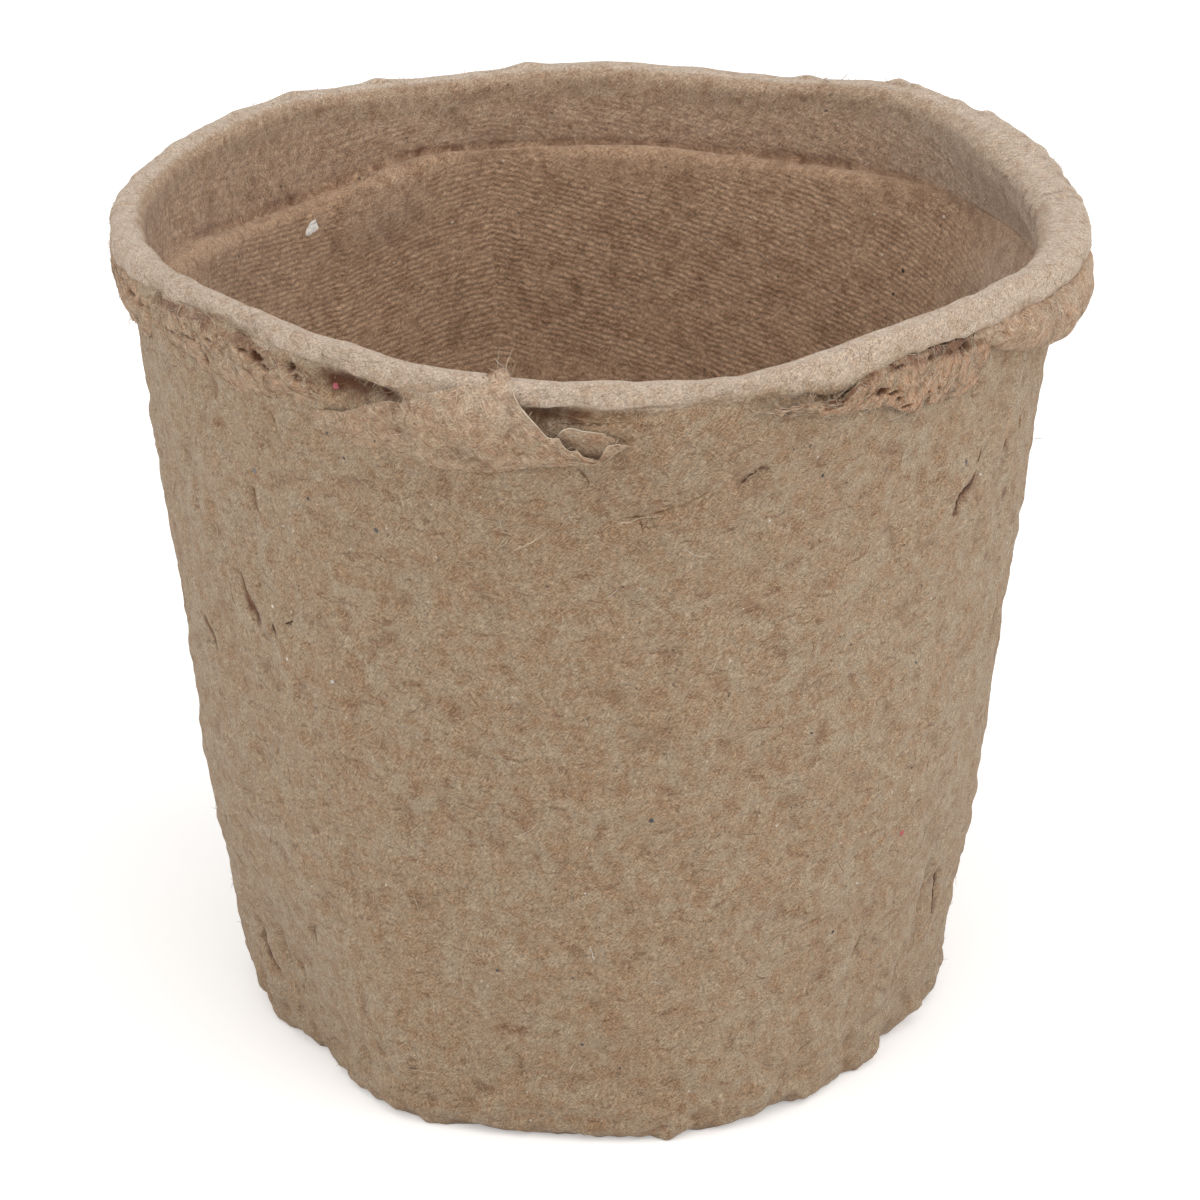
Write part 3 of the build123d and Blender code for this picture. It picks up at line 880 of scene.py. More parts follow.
def shapeMoulding():
    radius = np.broadcast_to(rows[:, :1], azimuthGrid.shape).copy()
    height = np.broadcast_to(rows[:, 1:], azimuthGrid.shape).copy()
    heading = np.gradient(rows, axis=0)
    heading /= np.linalg.norm(heading, axis=1, keepdims=True)
    outR, outZ = -heading[:, 1:], heading[:, :1]
    turn = np.radians(azimuthGrid)
    place = np.stack([radius * np.sin(turn), -radius * np.cos(turn), height], axis=-1).reshape(-1, 3)
    rowsAlong = pathLength[:, None]
    outside = inZones("collarOut", "wallOut", "heel")
    inside = inZones(*insideZones)

    lumps = np.zeros(radius.shape)
    layers = []
    for index, size in enumerate(lumpSizes):
        level = rowSmooth(np.array([reliefOf[zone][index] for zone in rowZones]))[:, None]
        layers.append(pulpNoise(place, size, moulding["seed"] + index).reshape(radius.shape))
        lumps += level * layers[-1]
    crown = inZones("lip") & (rows[:, 1:] > lipBase + moulding["lipTurn"]) & (rows[:, :1] > wallTopRadius)
    lumps += swell(azimuthGrid, lipShape["nibs"]) * crown

    # paler lip, from its inside edge down to a ragged lower edge
    noise, start, full = lipShape["paleInside"]
    lipInside = ease(rows[:, :1] + noise * layers[2], collarBore + start, collarBore + full)
    paleFrom = lipBase + swell(azimuthGrid, lipShape["lipUnderShade"])
    coarse, fine, start, full = lipShape["paleOutside"]
    level = rows[:, 1:] + coarse * layers[2] + fine * layers[3]
    lipOutside = ease(level, paleFrom + start, paleFrom + full)
    pale = np.minimum(lipInside, lipOutside) * (outside | inZones("lip"))
    collarPale = alongRim(azimuthGrid, lipShape["insidePale"]) * (rows[:, :1] < wallTopRadius)
    pale = np.maximum(pale, collarPale * inZones("collarIn", "lip"))

    radius, height = shapeLip(radius, height)
    stainAndShade, raw = np.zeros(radius.shape), np.zeros(radius.shape)
    # grooves, pockets and creases are darkened with painted shade and stain
    for azimuth, slant, depth, halfWidth, dark in lipWrinkles:
        away = around(azimuthGrid, azimuth + slant * (rows[:, :1] - collarBore)) / halfWidth
        groove = np.exp(-(away**2)) * inZones("lip")
        lumps -= depth * groove
        stainAndShade = np.maximum(stainAndShade, dark * groove)
    for azimuth, level, depth, halfWidth, halfHeight, dark in pockets:
        away = awayFrom(azimuth, level, halfWidth, halfHeight, height)
        bowl = np.exp(-(away**pocketSide)) * outside
        lumps -= depth * bowl
        stainAndShade = np.maximum(stainAndShade, dark * bowl)
    # painted shade in the crease behind the ledge
    fold = rowsAlong - rowsAlong[rowSpan["ledge"][1]] - ledgeCrease["rise"]
    crease = np.exp(-((fold / ledgeCrease["halfWidth"]) ** 2)) * inZones("ledge", "collarIn")
    atLeft = ease(azimuthGrid, *ledgeCrease["left"]) * (azimuthGrid < 0)
    crease = crease * np.maximum(atLeft, ease(azimuthGrid, *ledgeCrease["right"]))
    lumps -= ledgeCrease["depth"] * crease
    stainAndShade = np.maximum(stainAndShade, ledgeCrease["stainAndShade"] * crease * (1 + ledgeCrease["uneven"] * layers[1]))
    for side, marks in ((outside, creases), (inside, insideCreases)):
        for depth, halfWidth, dark, path in marks:
            groove = np.exp(-((creaseGap(azimuthGrid, height, path) / halfWidth) ** 2)) * side
            lumps -= depth * groove
            stainAndShade = np.maximum(stainAndShade, dark * groove)
    for azimuth, level, halfWidth, halfHeight, share in rawPlaces:
        away = awayFrom(azimuth, level, halfWidth, halfHeight, height)
        uneven = np.clip(skinTone["raw"] + layers[2], 0, 1)
        raw = np.maximum(raw, share * np.exp(-away) * outside * uneven)

    # inside: the ledge wanders up and down, stands in as a shelf, and the screen's corners press outward
    shift = alongRim(azimuthGrid, ledgeLine) - ledgeLevel
    above, below = ease(height, lipBase, ledgeLevel), ease(height, ledgeReach["from"], ledgeLevel)
    pull = np.where(height > ledgeLevel, above, below)
    standsIn = wallShare(radius)
    shelf = swell(azimuthGrid, ledgeReach["shelf"]) * standsIn * inZones("innerWall", "ledge")
    radius = radius - shelf * np.exp(-(((ledgeLevel - height) / ledgeReach["shelfDepth"]) ** 2))
    smoothed = np.zeros(radius.shape)
    for azimuth, level, size, halfWidth, halfHeight, paleness in insideBulges:
        away = awayFrom(azimuth, level, halfWidth, halfHeight, height)
        swelling = np.exp(-away) * inZones("innerWall", "ledge")
        radius = radius - size * swelling
        pale = np.maximum(pale, paleness * swelling)
        smoothed = np.maximum(smoothed, swelling)
    corners = sum(
        size * np.clip(1 - abs(around(azimuthGrid, azimuth)) / width, 0, 1)
        for azimuth, size, width in insideCorners
    )
    corners = corners * standsIn * ease(height, *cornerRise)
    radius = radius + corners * inZones("corner", "innerWall", "ledge")
    height = height + shift * pull * inside

    radius = np.maximum(radius + lumps * outR, 0)
    height = height + lumps * outZ
    height = np.where(inZones("heel", "under"), np.maximum(height, 0), height)
    thick = wallShare(radius) * inZones("floor", "corner", "innerWall", "ledge")
    skin = settle(azimuthGrid, radius, height, thick)
    skin[0] = skin[0].mean(axis=0)
    skin[-1] = skin[-1].mean(axis=0)

    lipInner = inZones("lip") & (rows[:, :1] < wallTopRadius)
    level = rows[:, 1:] + screenMarks["fadeNoise"] * layers[0]
    marks = ease(level, *screenMarks["fadeIn"]) * ease(level, *screenMarks["fadeOut"]) * inZones("innerWall")
    level = rows[:, 1:] + screenMarks["collarNoise"] * layers[1]
    onCollar = ease(level, *screenMarks["collarFade"]) * inZones("collarIn")
    marks = marks * (1 - screenMarks["lostOnBulges"] * smoothed) + screenMarks["collar"] * onCollar
    # painted shade: a band under the lip at the front, added to the painted shade of the hollows
    shade = swell(azimuthGrid, underLip["shade"]) * ease(height, *underLip["shadeRise"]) * outside
    hollowShade = np.maximum(ease(-(layers[2] + layers[3]), *skinTone["hollowShade"]), shade)
    even, noise = skinTone["stainAndShade"]
    values = {
        "pale": pale,
        "inner": np.where(inside, 1.0, np.where(lipInner, 1 - pale, 0.0)),
        "marks": marks,
        "hollowShade": hollowShade * (1 - pale),
        "raw": raw,
        "stainAndShade": np.clip(stainAndShade * (even + noise * layers[3]), 0, 1),
    }
    return skin, {name: np.broadcast_to(value, radius.shape) for name, value in values.items()}


def skinNormals(skin):
    alongRows = np.gradient(skin, axis=0)
    alongColumns = (np.roll(skin, -1, axis=1) - np.roll(skin, 1, axis=1)) / 2
    normals = np.cross(alongRows, alongColumns)
    normals[0] = (0, 0, 1)
    normals[-1] = (0, 0, -1)
    return normals / np.linalg.norm(normals, axis=-1, keepdims=True)


mouldSkin, skinValues = shapeMoulding()
mouldNormals = skinNormals(mouldSkin)

# Flat map in mm for fibres, specks and screen marks; inside it is cut at the hidden front
flatMap = {
    "corner": -166,
    # how far the rows of the screen drop, by mm across from the corner
    "rowDrop": [(-107, 26.8), (0, 0.0), (14, 1.7), (107, -5.7)],
    "insideRadius": 34.0,
    "outsideRadius": 38.0,
}
# Bake map: margin, least height of a row, width and height of a tube, levels and height of its end caps
bakeLayout = {
    "edge": 0.01,
    "leastRow": 0.05,
    "tubeWide": 0.98,
    "tubeHigh": 0.9,
    "capLevels": (0.97, 0.93),
    "capHigh": 0.02,
}


def flatSpot(row, azimuth, inside):
    if not inside:
        across = np.radians(azimuth) * flatMap["outsideRadius"]
        return np.stack([across, np.full_like(azimuth, pathLength[row])], axis=-1)
    across = np.radians(around(azimuth, flatMap["corner"])) * flatMap["insideRadius"]
    drop = np.interp(across, *zip(*flatMap["rowDrop"]))
    return np.stack([across, pathLength[row] + drop], axis=-1)


def mouldPiece(name, stretches, closed):
    rowList = []
    for zone in stretches:
        first, last = rowSpan[zone]
        rowList.extend(row for row in range(first, last + 1) if not rowList or row != rowList[-1])
    columns = len(columnAzimuth)
    index = np.arange(len(rowList) * columns).reshape(len(rowList), columns)
    pairs = list(zip(range(len(rowList) - 1), range(1, len(rowList))))
    if closed:
        pairs.append((len(rowList) - 1, 0))
    faces, bakeMap, flatCorners, cornerNormals = [], [], [], []
    nextColumn = np.roll(np.arange(columns), -1)
    start, end = columnAzimuth, columnAzimuth + 360 / columns
    edge, leastRow = bakeLayout["edge"], bakeLayout["leastRow"]
    share = np.linspace(edge, 1 - edge, columns + 1)
    spans = [max(np.linalg.norm(rows[rowList[b]] - rows[rowList[a]]), leastRow) for a, b in pairs]
    level = np.r_[0, np.cumsum(spans)] / sum(spans) * (1 - 2 * edge) + edge
    for number, (a, b) in enumerate(pairs):
        quads = np.stack([index[a], index[b], index[b][nextColumn], index[a][nextColumn]], axis=1)
        faces.extend(quads.tolist())
        low, high = np.full(columns, level[number]), np.full(columns, level[number + 1])
        left, right = share[:-1], share[1:]
        corners = [np.c_[left, low], np.c_[left, high], np.c_[right, high], np.c_[right, low]]
        bakeMap.append(np.stack(corners, axis=1))
        above, below = rowList[a], rowList[b]
        inside = rowZones[max(above, below)] in insideZones
        ends = ((above, start), (below, start), (below, end), (above, end))
        flatCorners.append(np.stack([flatSpot(row, azimuth, inside) for row, azimuth in ends], axis=1))
        if abs(above - below) > 1:  # a hidden seam ring
            flatNormal = np.zeros((columns, 4, 3))
            flatNormal[..., 2] = 1 if below > above else -1
            cornerNormals.append(flatNormal)
        else:
            top, foot = mouldNormals[above], mouldNormals[below]
            cornerNormals.append(np.stack([top, foot, foot[nextColumn], top[nextColumn]], axis=1))
    piece = newPiece(name, mouldSkin[rowList].reshape(-1, 3), faces, name, mouldedPulp)
    setMap(piece, "OFBake", np.concatenate(bakeMap))
    setMap(piece, "FlatMap", np.concatenate(flatCorners))
    for valueName, values in skinValues.items():
        setValues(piece, valueName, values[rowList])
    piece.data.normals_split_custom_set(np.concatenate(cornerNormals).reshape(-1, 3).tolist())
    print(name, len(faces), "quads")


mouldPiece("rim_lip", ["lip"], closed=True)
mouldPiece("rim_collar", ["collarIn", "collarOut"], closed=True)
mouldPiece("pot_wall", ["innerWall", "ledge", "wallOut"], closed=True)
mouldPiece("pot_base", ["floor", "corner", "heel", "under"], closed=False)

# Torn plies: sheets between an upper and a lower torn edge, standing off the wall.
# Edges are pairs of azimuth and height; lift and foot are the stand-off at the two edges.
# A dish is an azimuth, a height, a depth, a half width in degrees, a half height and the painted shade of
# the hole.


plyShape = {
    "edgeLumps": [(1.8, 1.0, 0), (0.5, 0.7, 5)],  # lumps are a size in mm, a height and a step of the seed
    "crumple": [(2.4, 1.0, 20), (1.0, 0.6, 21)],
    "fluff": [(0.6, 1.0, 22)],
    "leastHeight": 0.2,
    "dishFray": 0.3,
    "dishSide": 4,  # steepness of a dish's side
    "browShadeRise": (0.6, 0.92),  # share of the height where the painted shade under the lip starts and is full
    "browShadeEven": (0.7, 0.8),  # its evenness, and how much of the crumple shows in it
    "ends": (-0.2, 1.6),  # degrees from an end where the sheet starts and is full
    "edgeThin": 0.3,  # share of the thickness that is left at a torn edge, and at an end
    "endThin": 0.25,
    "edgeRuns": 5,  # the edge gets thin over one part in so many of the height
    "rawEven": 0.7,
    # painted shade in the dips of the crumple
    "hollowShadeFluff": 0.6,
    "hollowShade": (0.1, 1.0),
    # the back of a sheet is darker
    "behindDarker": 0.3,
}


def tubeFaces(rowCount, columns):
    # quads around a tube of rows, with their corners in the bake map
    index = np.arange(rowCount * columns).reshape(rowCount, columns)
    faces, bakeMap = [], []
    edge, high = bakeLayout["edge"], bakeLayout["tubeHigh"]
    side = np.linspace(edge, bakeLayout["tubeWide"], columns)
    left, right = side[:-1], side[1:]
    for a in range(rowCount):
        b = (a + 1) % rowCount
        faces.extend(np.stack([index[a, :-1], index[a, 1:], index[b, 1:], index[b, :-1]], axis=1).tolist())
        low = np.full(columns - 1, a / rowCount * high + edge)
        top = low + high / rowCount
        corners = [np.c_[left, low], np.c_[right, low], np.c_[right, top], np.c_[left, top]]
        bakeMap.extend(np.stack(corners, axis=1).reshape(-1, 2).tolist())
    return index, faces, bakeMap


def plySheet(name, node, ply, seed):
    start, end = ply["upper"][0][0], ply["upper"][-1][0]
    count = int(math.radians(end - start) * rimRadius / ply["step"])
    azimuth = np.linspace(start, end, count)
    across = np.radians(azimuth) * rimRadius
    edges = []
    for number, edge in enumerate(("upper", "lower")):
        fray = gridNoise(across, np.zeros(count), plyShape["edgeLumps"], seed + number)
        edges.append(np.interp(azimuth, *zip(*ply[edge])) + ply["ragged"] * fray)
    upper = np.maximum(edges[0], edges[1] + plyShape["leastHeight"])
    share = np.linspace(0, 1, ply["rows"])[:, None]
    level = edges[1] + (upper - edges[1]) * share
    azGrid = np.broadcast_to(azimuth, level.shape)
    acrossGrid = np.broadcast_to(across, level.shape)
    crumple = gridNoise(acrossGrid, level, plyShape["crumple"], seed)
    fluff = gridNoise(acrossGrid, level, plyShape["fluff"], seed)
    keys = ("lift", "foot", "flare", "belly")
    lift, foot, flare, belly = (np.interp(azimuth, *zip(*ply[key])) for key in keys)
    stand = foot + (lift - foot) * share**flare + belly * np.sin(math.pi * share)
    stand = stand + crumple * ply["crumple"] + fluff * ply["fluff"]
    stainAndShade = np.full(level.shape, float(ply["stainAndShade"]))
    # holes and dents in the sheet get painted shade
    for dishAz, dishUp, depth, halfWidth, halfHeight, dark in ply["dishes"]:
        away = np.hypot((azimuth - dishAz) / halfWidth, (level - dishUp) / halfHeight)
        away = np.clip(away + plyShape["dishFray"] * fluff, 0, None)
        bowl = np.exp(-(away ** plyShape["dishSide"]))
        stand = stand - depth * bowl
        stainAndShade = np.maximum(stainAndShade, dark * bowl)
    # painted shade along the upper edge, where the lip overhangs
    even, uneven = plyShape["browShadeEven"]
    shadow = ease(share, *plyShape["browShadeRise"]) * np.clip(even + uneven * crumple, 0, 1)
    stainAndShade = np.maximum(stainAndShade, ply["browShade"] * shadow)
    ends = ease(np.minimum(azimuth - start, end - azimuth), *plyShape["ends"])
    edgeShare = np.clip(np.minimum(share, 1 - share) * plyShape["edgeRuns"], 0, 1)
    edgeThin, endThin = plyShape["edgeThin"], plyShape["endThin"]
    thick = ply["thickness"] * (edgeThin + (1 - edgeThin) * edgeShare) * (endThin + (1 - endThin) * ends)
    ground = wallFace(azGrid, level) + stand
    front, back = settle(azGrid, ground + thick, level), settle(azGrid, ground, level)
    loop = np.concatenate([front, back[::-1]], axis=0)
    index, faces, bakeMap = tubeFaces(len(loop), count)
    for column, flip, low in zip((0, count - 1), (False, True), bakeLayout["capLevels"]):
        for k in range(ply["rows"] - 1):
            quad = index[[k, k + 1, -2 - k, -1 - k], column].tolist()
            faces.append(quad[::-1] if flip else quad)
            left, right, top = k / ply["rows"], (k + 1) / ply["rows"], low + bakeLayout["capHigh"]
            bakeMap.extend([(left, low), (right, low), (right, top), (left, top)])
    piece = newPiece(name, loop.reshape(-1, 3), faces, node, tornPulp)
    setMap(piece, "OFBake", bakeMap)
    flat = np.stack([acrossGrid, level], axis=-1)
    setPointMap(piece, "FlatMap", np.concatenate([flat, flat[::-1]]))
    raw = ply["raw"] * np.clip(plyShape["rawEven"] + crumple, 0, 1)
    pale = ease(level, *ply["paleFrom"]) * ply["pale"]
    # painted shade in the dips of the crumple
    hollowShade = ease(-(crumple + plyShape["hollowShadeFluff"] * fluff), *plyShape["hollowShade"])
    behind = np.full(level.shape, plyShape["behindDarker"])
    for valueName, value in (("raw", raw), ("pale", pale), ("hollowShade", hollowShade)):
        setValues(piece, valueName, np.concatenate([value, value[::-1]]))
    setValues(piece, "stainAndShade", np.concatenate([stainAndShade, behind]))
    print(name, len(faces), "quads")
    return front


plainPly = {
    "step": 0.2,
    "rows": 20,
    "thickness": 0.35,
    "ragged": 0.16,
    "crumple": 0.14,
    "flare": [(-180, 1.0), (180, 1.0)],
    "belly": [(-180, 0.0), (180, 0.0)],
    "fluff": 0.07,
    "stainAndShade": 0.0,
    "browShade": 0.0,  # painted shade along the upper edge, under the lip
    "raw": 0.2,
    "pale": 0.0,
    "paleFrom": (66.5, 69.0),
    "dishes": [],
}

# Front flap: bridges from the wall up over the lip, with a free right edge
frontFlap = {
    **plainPly,
    "upper": [
        (-37.0, 63.6), (-35.5, 63.9), (-31.0, 64.5), (-29.0, 65.1), (-27.5, 65.8), (-24.7, 66.6),
        (-23.6, 66.9), (-22.4, 66.8), (-20.6, 67.7), (-19.4, 68.1), (-16.0, 69.0), (-13.5, 69.6),
        (-12.4, 70.0), (-11.4, 70.5), (-10.4, 70.8), (-9.8, 70.7), (-9.3, 70.2), (-8.8, 69.2),
        (-7.3, 67.9), (-5.0, 66.0), (-4.4, 65.9), (-3.8, 66.1), (-3.5, 65.5), (-2.8, 64.9), (-2.1, 64.8),
        (-1.8, 65.0), (-1.3, 64.5), (-0.7, 64.3), (0.7, 64.0), (1.2, 64.9), (1.6, 65.4), (2.6, 65.5),
        (3.8, 65.4),
    ],
    "lower": [
        (-37.0, 61.5), (-28.0, 61.0), (-20.6, 61.6), (-16.1, 61.8), (-10.7, 62.3), (-7.2, 63.0),
        (-2.5, 63.3), (0.4, 63.5), (1.4, 63.8), (2.6, 64.6), (3.8, 65.2),
    ],
    "lift": [
        (-37.0, -0.1), (-33.0, 0.1), (-29.0, 0.25), (-25.0, 0.2), (-22.4, 0.0), (-20.0, -0.3),
        (-17.0, -0.55), (-14.0, -0.95), (-12.0, -1.45), (-10.0, -1.75), (-9.3, -1.3), (-8.8, -0.3),
        (-8.2, 0.3), (-7.3, 0.7), (-5.0, 0.9), (0.0, 0.8), (3.8, 0.7),
    ],
    "foot": [
        (-37.0, -0.35), (-24.0, -0.3), (-19.0, -0.1), (-16.0, 0.1), (-10.0, 0.25), (-5.0, 0.35),
        (4.0, 0.4),
    ],
    "flare": [(-37.0, 1.0), (-24.0, 1.2), (-20.0, 4.0), (-10.0, 5.0), (-8.5, 1.5), (-5.0, 1.0)],
    "belly": [(-37.0, 0.0), (-24.0, 0.1), (-19.0, 0.3), (-11.0, 0.3), (-8.0, 0.1), (-4.0, 0.0)],
    "rows": 40,
    "thickness": 0.3,
    "ragged": 0.08,
    "crumple": 0.12,
    "fluff": 0.03,
    "pale": 0.5,
    "paleFrom": (64.0, 68.5),
}
# Curl: the scoop at the flap's right end, seen from its inner side
flapCurl = {
    **plainPly,
    "upper": [
        (-4.3, 65.6), (-3.8, 66.0), (-3.5, 66.4), (-2.7, 66.7), (-1.9, 66.6), (-1.1, 66.4), (0.9, 66.2),
        (2.2, 65.9), (3.2, 65.5),
    ],
    "lower": [(-4.3, 64.6), (-2.5, 63.9), (0.5, 63.7), (2.0, 64.1), (3.2, 64.9)],
    "lift": [(-4.3, 0.3), (-2.7, 0.5), (-1.0, 0.35), (1.0, 0.15), (3.2, 0.35)],
    "foot": [(-4.3, 0.15), (3.2, 0.2)],
    "flare": [(-5.0, 2.5), (5.0, 2.5)],
    "step": 0.12,
    "rows": 26,
    "thickness": 0.16,
    "ragged": 0.03,
    "crumple": 0.03,
    "fluff": 0.015,
    "dishes": [(-1.2, 64.8, 0.1, 3.2, 1.7, 0.25)],
}
# Left skirt: felt that hangs under the lip, with holes along its top
leftSkirt = {
    **plainPly,
    "upper": [
        (-71.0, 67.2), (-66.0, 67.9), (-62.0, 68.2), (-57.0, 68.6), (-52.0, 68.5), (-48.0, 68.2),
        (-44.0, 68.0), (-41.0, 67.8), (-38.5, 67.5), (-36.5, 67.0), (-35.0, 66.2), (-33.4, 65.2),
    ],
    "lower": [(-71.0, 64.4), (-62.0, 62.9), (-50.0, 62.4), (-42.0, 62.8), (-33.4, 64.2)],
    "lift": [(-71.0, -0.4), (-66.0, -0.2), (-44.0, -0.15), (-38.5, -0.2), (-36.0, -0.4), (-33.4, -0.7)],
    "foot": [(-71.0, -0.5), (-38.0, -0.5), (-33.4, -0.7)],
    "belly": [(-71.0, 0.2), (-62.0, 0.5), (-48.0, 0.55), (-42.0, 0.55), (-37.0, 0.4), (-33.4, 0.2)],
    "step": 0.15,
    "rows": 42,
    "thickness": 0.3,
    "ragged": 0.2,
    "crumple": 0.18,
    "fluff": 0.09,
    "browShade": 0.6,
    "raw": 0.35,
    "dishes": [
        (-70.0, 66.3, 0.8, 0.9, 0.35, 1.0),
        (-67.9, 65.3, 0.8, 0.75, 0.6, 1.0),
        (-62.5, 65.5, 0.25, 1.7, 0.16, 0.75),
        (-58.0, 65.9, 0.25, 2.2, 0.14, 0.7),
        (-54.3, 64.6, 0.25, 0.3, 0.6, 0.85),
        (-52.5, 66.6, 0.25, 1.4, 0.16, 0.75),
        (-46.4, 67.0, 0.3, 1.3, 0.14, 0.8),
        (-44.0, 66.8, 0.8, 1.3, 0.42, 1.0),
        (-42.4, 66.3, 0.5, 1.0, 0.25, 0.8),
        (-38.6, 66.9, 0.9, 0.9, 0.42, 1.0),
        (-37.4, 66.2, 0.5, 0.7, 0.35, 0.75),
    ],
}
# Left scab: short ragged ply at the left side, with teeth along its lower edge
leftScab = {
    **plainPly,
    "upper": [
        (-101.0, 67.0), (-95.0, 67.8), (-88.0, 68.3), (-83.0, 68.3), (-78.0, 68.1), (-70.5, 67.3),
    ],
    "lower": [
        (-101.0, 65.0), (-96.0, 63.6), (-90.0, 62.8), (-86.0, 63.0), (-82.0, 62.6), (-79.0, 63.2),
        (-76.5, 62.7), (-74.0, 62.4), (-70.5, 64.0),
    ],
    "lift": [(-101.0, 0.0), (-94.0, 0.5), (-86.0, 0.6), (-80.0, 0.5), (-75.0, 0.2), (-70.5, -0.4)],
    "foot": [(-101.0, -0.3), (-92.0, 0.1), (-84.0, 0.3), (-78.0, 0.2), (-74.0, 0.1), (-70.5, -0.4)],
    "belly": [(-101.0, 0.0), (-92.0, 0.3), (-76.0, 0.3), (-70.5, 0.1)],
    "step": 0.15,
    "rows": 40,
    "thickness": 0.3,
    "ragged": 0.42,
    "crumple": 0.22,
    "fluff": 0.1,
    "browShade": 0.3,
    "raw": 0.45,
    "dishes": [
        (-78.4, 66.8, 0.5, 0.8, 0.28, 0.9),
        (-74.6, 66.3, 0.7, 1.0, 0.3, 1.0),
        (-72.4, 65.8, 0.4, 1.0, 0.16, 0.8),
        (-82.0, 67.0, 0.2, 1.4, 0.2, 0.6),
    ],
}
# Right fold: thin strip at the left, then crumpled fluff, with a torn step between them
rightFold = {
    **plainPly,
    "upper": [
        (17.5, 67.5), (21.5, 67.1), (24.2, 67.0), (27.0, 66.6), (29.0, 66.5), (31.0, 67.0), (33.0, 67.5),
        (36.0, 67.8), (40.0, 67.7), (46.0, 67.3), (52.0, 67.0), (57.0, 66.6),
    ],
    "lower": [
        (17.5, 67.2), (19.3, 67.0), (21.6, 66.4), (23.8, 65.9), (27.2, 65.3), (30.5, 64.7), (33.4, 64.6),
        (35.6, 64.4), (38.0, 63.7), (40.6, 62.8), (43.2, 62.2), (43.6, 62.7), (47.0, 62.1), (51.0, 61.8),
        (55.0, 62.2), (57.0, 63.5),
    ],
    "lift": [(17.5, 0.3), (24.0, 0.75), (31.0, 0.6), (36.0, 0.25), (44.0, 0.2), (52.0, 0.1), (57.0, 0.0)],
    "foot": [(17.5, 0.2), (24.0, 0.6), (31.0, 0.55), (38.0, 0.5), (43.2, 0.4), (43.8, 0.05), (57.0, -0.1)],
    "belly": [(17.5, 0.0), (34.0, 0.0), (42.0, 0.3), (52.0, 0.35), (57.0, 0.1)],
    "step": 0.14,
    "rows": 44,
    "thickness": 0.35,
    "ragged": 0.26,
    "crumple": 0.24,
    "fluff": 0.09,
    "browShade": 0.8,
    "raw": 0.75,
    "dishes": [
        (35.6, 65.6, 0.6, 1.0, 0.3, 0.95),
        (37.6, 65.1, 0.5, 0.9, 0.16, 0.9),
        (38.6, 64.4, 0.4, 0.6, 0.2, 0.85),
        (40.2, 63.5, 0.4, 0.9, 0.16, 0.85),
        (44.6, 63.7, 0.3, 0.35, 0.2, 0.85),
        (46.2, 63.7, 0.3, 0.4, 0.22, 0.85),
        (21.8, 66.5, 0.3, 0.6, 0.25, 0.8),
        (38.5, 67.0, 0.4, 1.6, 0.2, 0.7),
        (44.5, 66.6, 0.5, 1.4, 0.22, 0.75),
        (51.0, 66.2, 0.8, 1.2, 0.45, 0.9),
        (28.0, 66.0, 0.2, 2.5, 0.2, 0.5),
    ],
}
plyFronts = {
    "flap": plySheet("front_flap", "front_flap", frontFlap, seed=100),
    "curl": plySheet("flap_curl", None, flapCurl, seed=120),
    "skirt": plySheet("left_skirt", "left_skirt", leftSkirt, seed=140),
    "scab": plySheet("left_scab", "left_scab", leftScab, seed=180),
    "fold": plySheet("right_fold", "right_fold", rightFold, seed=220),
}

# Right roll: fat bead of pulp under the lip that runs out at both ends.
# Its middle level, half height, half depth and reach past the wall are pairs of azimuth and mm.
rightRoll = {
    "start": 53.0,
    "end": 114.0,
    "middle": [(53, 67.0), (57, 66.5), (62, 65.8), (70, 65.2), (80, 65.1), (100, 65.3), (114, 66.2)],
    "halfHeight": [(53, 0.4), (57, 1.2), (62, 2.0), (70, 2.4), (80, 2.7), (98, 2.6), (108, 1.6), (114, 0.3)],
    "halfDepth": [(53, 0.3), (57, 0.9), (62, 1.6), (70, 2.0), (80, 2.1), (90, 1.7), (100, 1.1), (114, 0.3)],
    "reach": [(53, -0.3), (60, 0.2), (70, 0.5), (80, 0.6), (90, 0.4), (100, 0.0), (114, -0.4)],
    "columns": 240,
    "around": 64,
    "seed": 300,
    "lumps": [(5.0, 0.3, 0), (1.9, 0.2, 1), (0.9, 0.07, 2)],  # size, height and step of the seed
    "lumpsFrom": (0.2, 1.6),  # half heights where lumps start and are full
    "smudges": [(2.4, 1.0, 10), (0.9, 0.6, 11)],
    "noiseLevels": (20, 40),  # where lumps and smudges are cut from their noise
    # painted shade in the dips between lumps
    "hollowShade": 2.5,
    "smudge": (0.25, 0.9, 0.3),  # noise where it starts and is full, share
    "raw": (0.6, 0.4),  # evenness and share
    "pale": (64.4, 67.2, 0.3, 0.6),  # from level, full at level, share, and mm that smudges move it
    "caps": [(0, 0.25), (-1, 0.75)],  # end column, and its place across the bake map
    "capLevel": 0.95,
    "outerRows": (14, 18),  # rows before and after the first one on its outer half
}


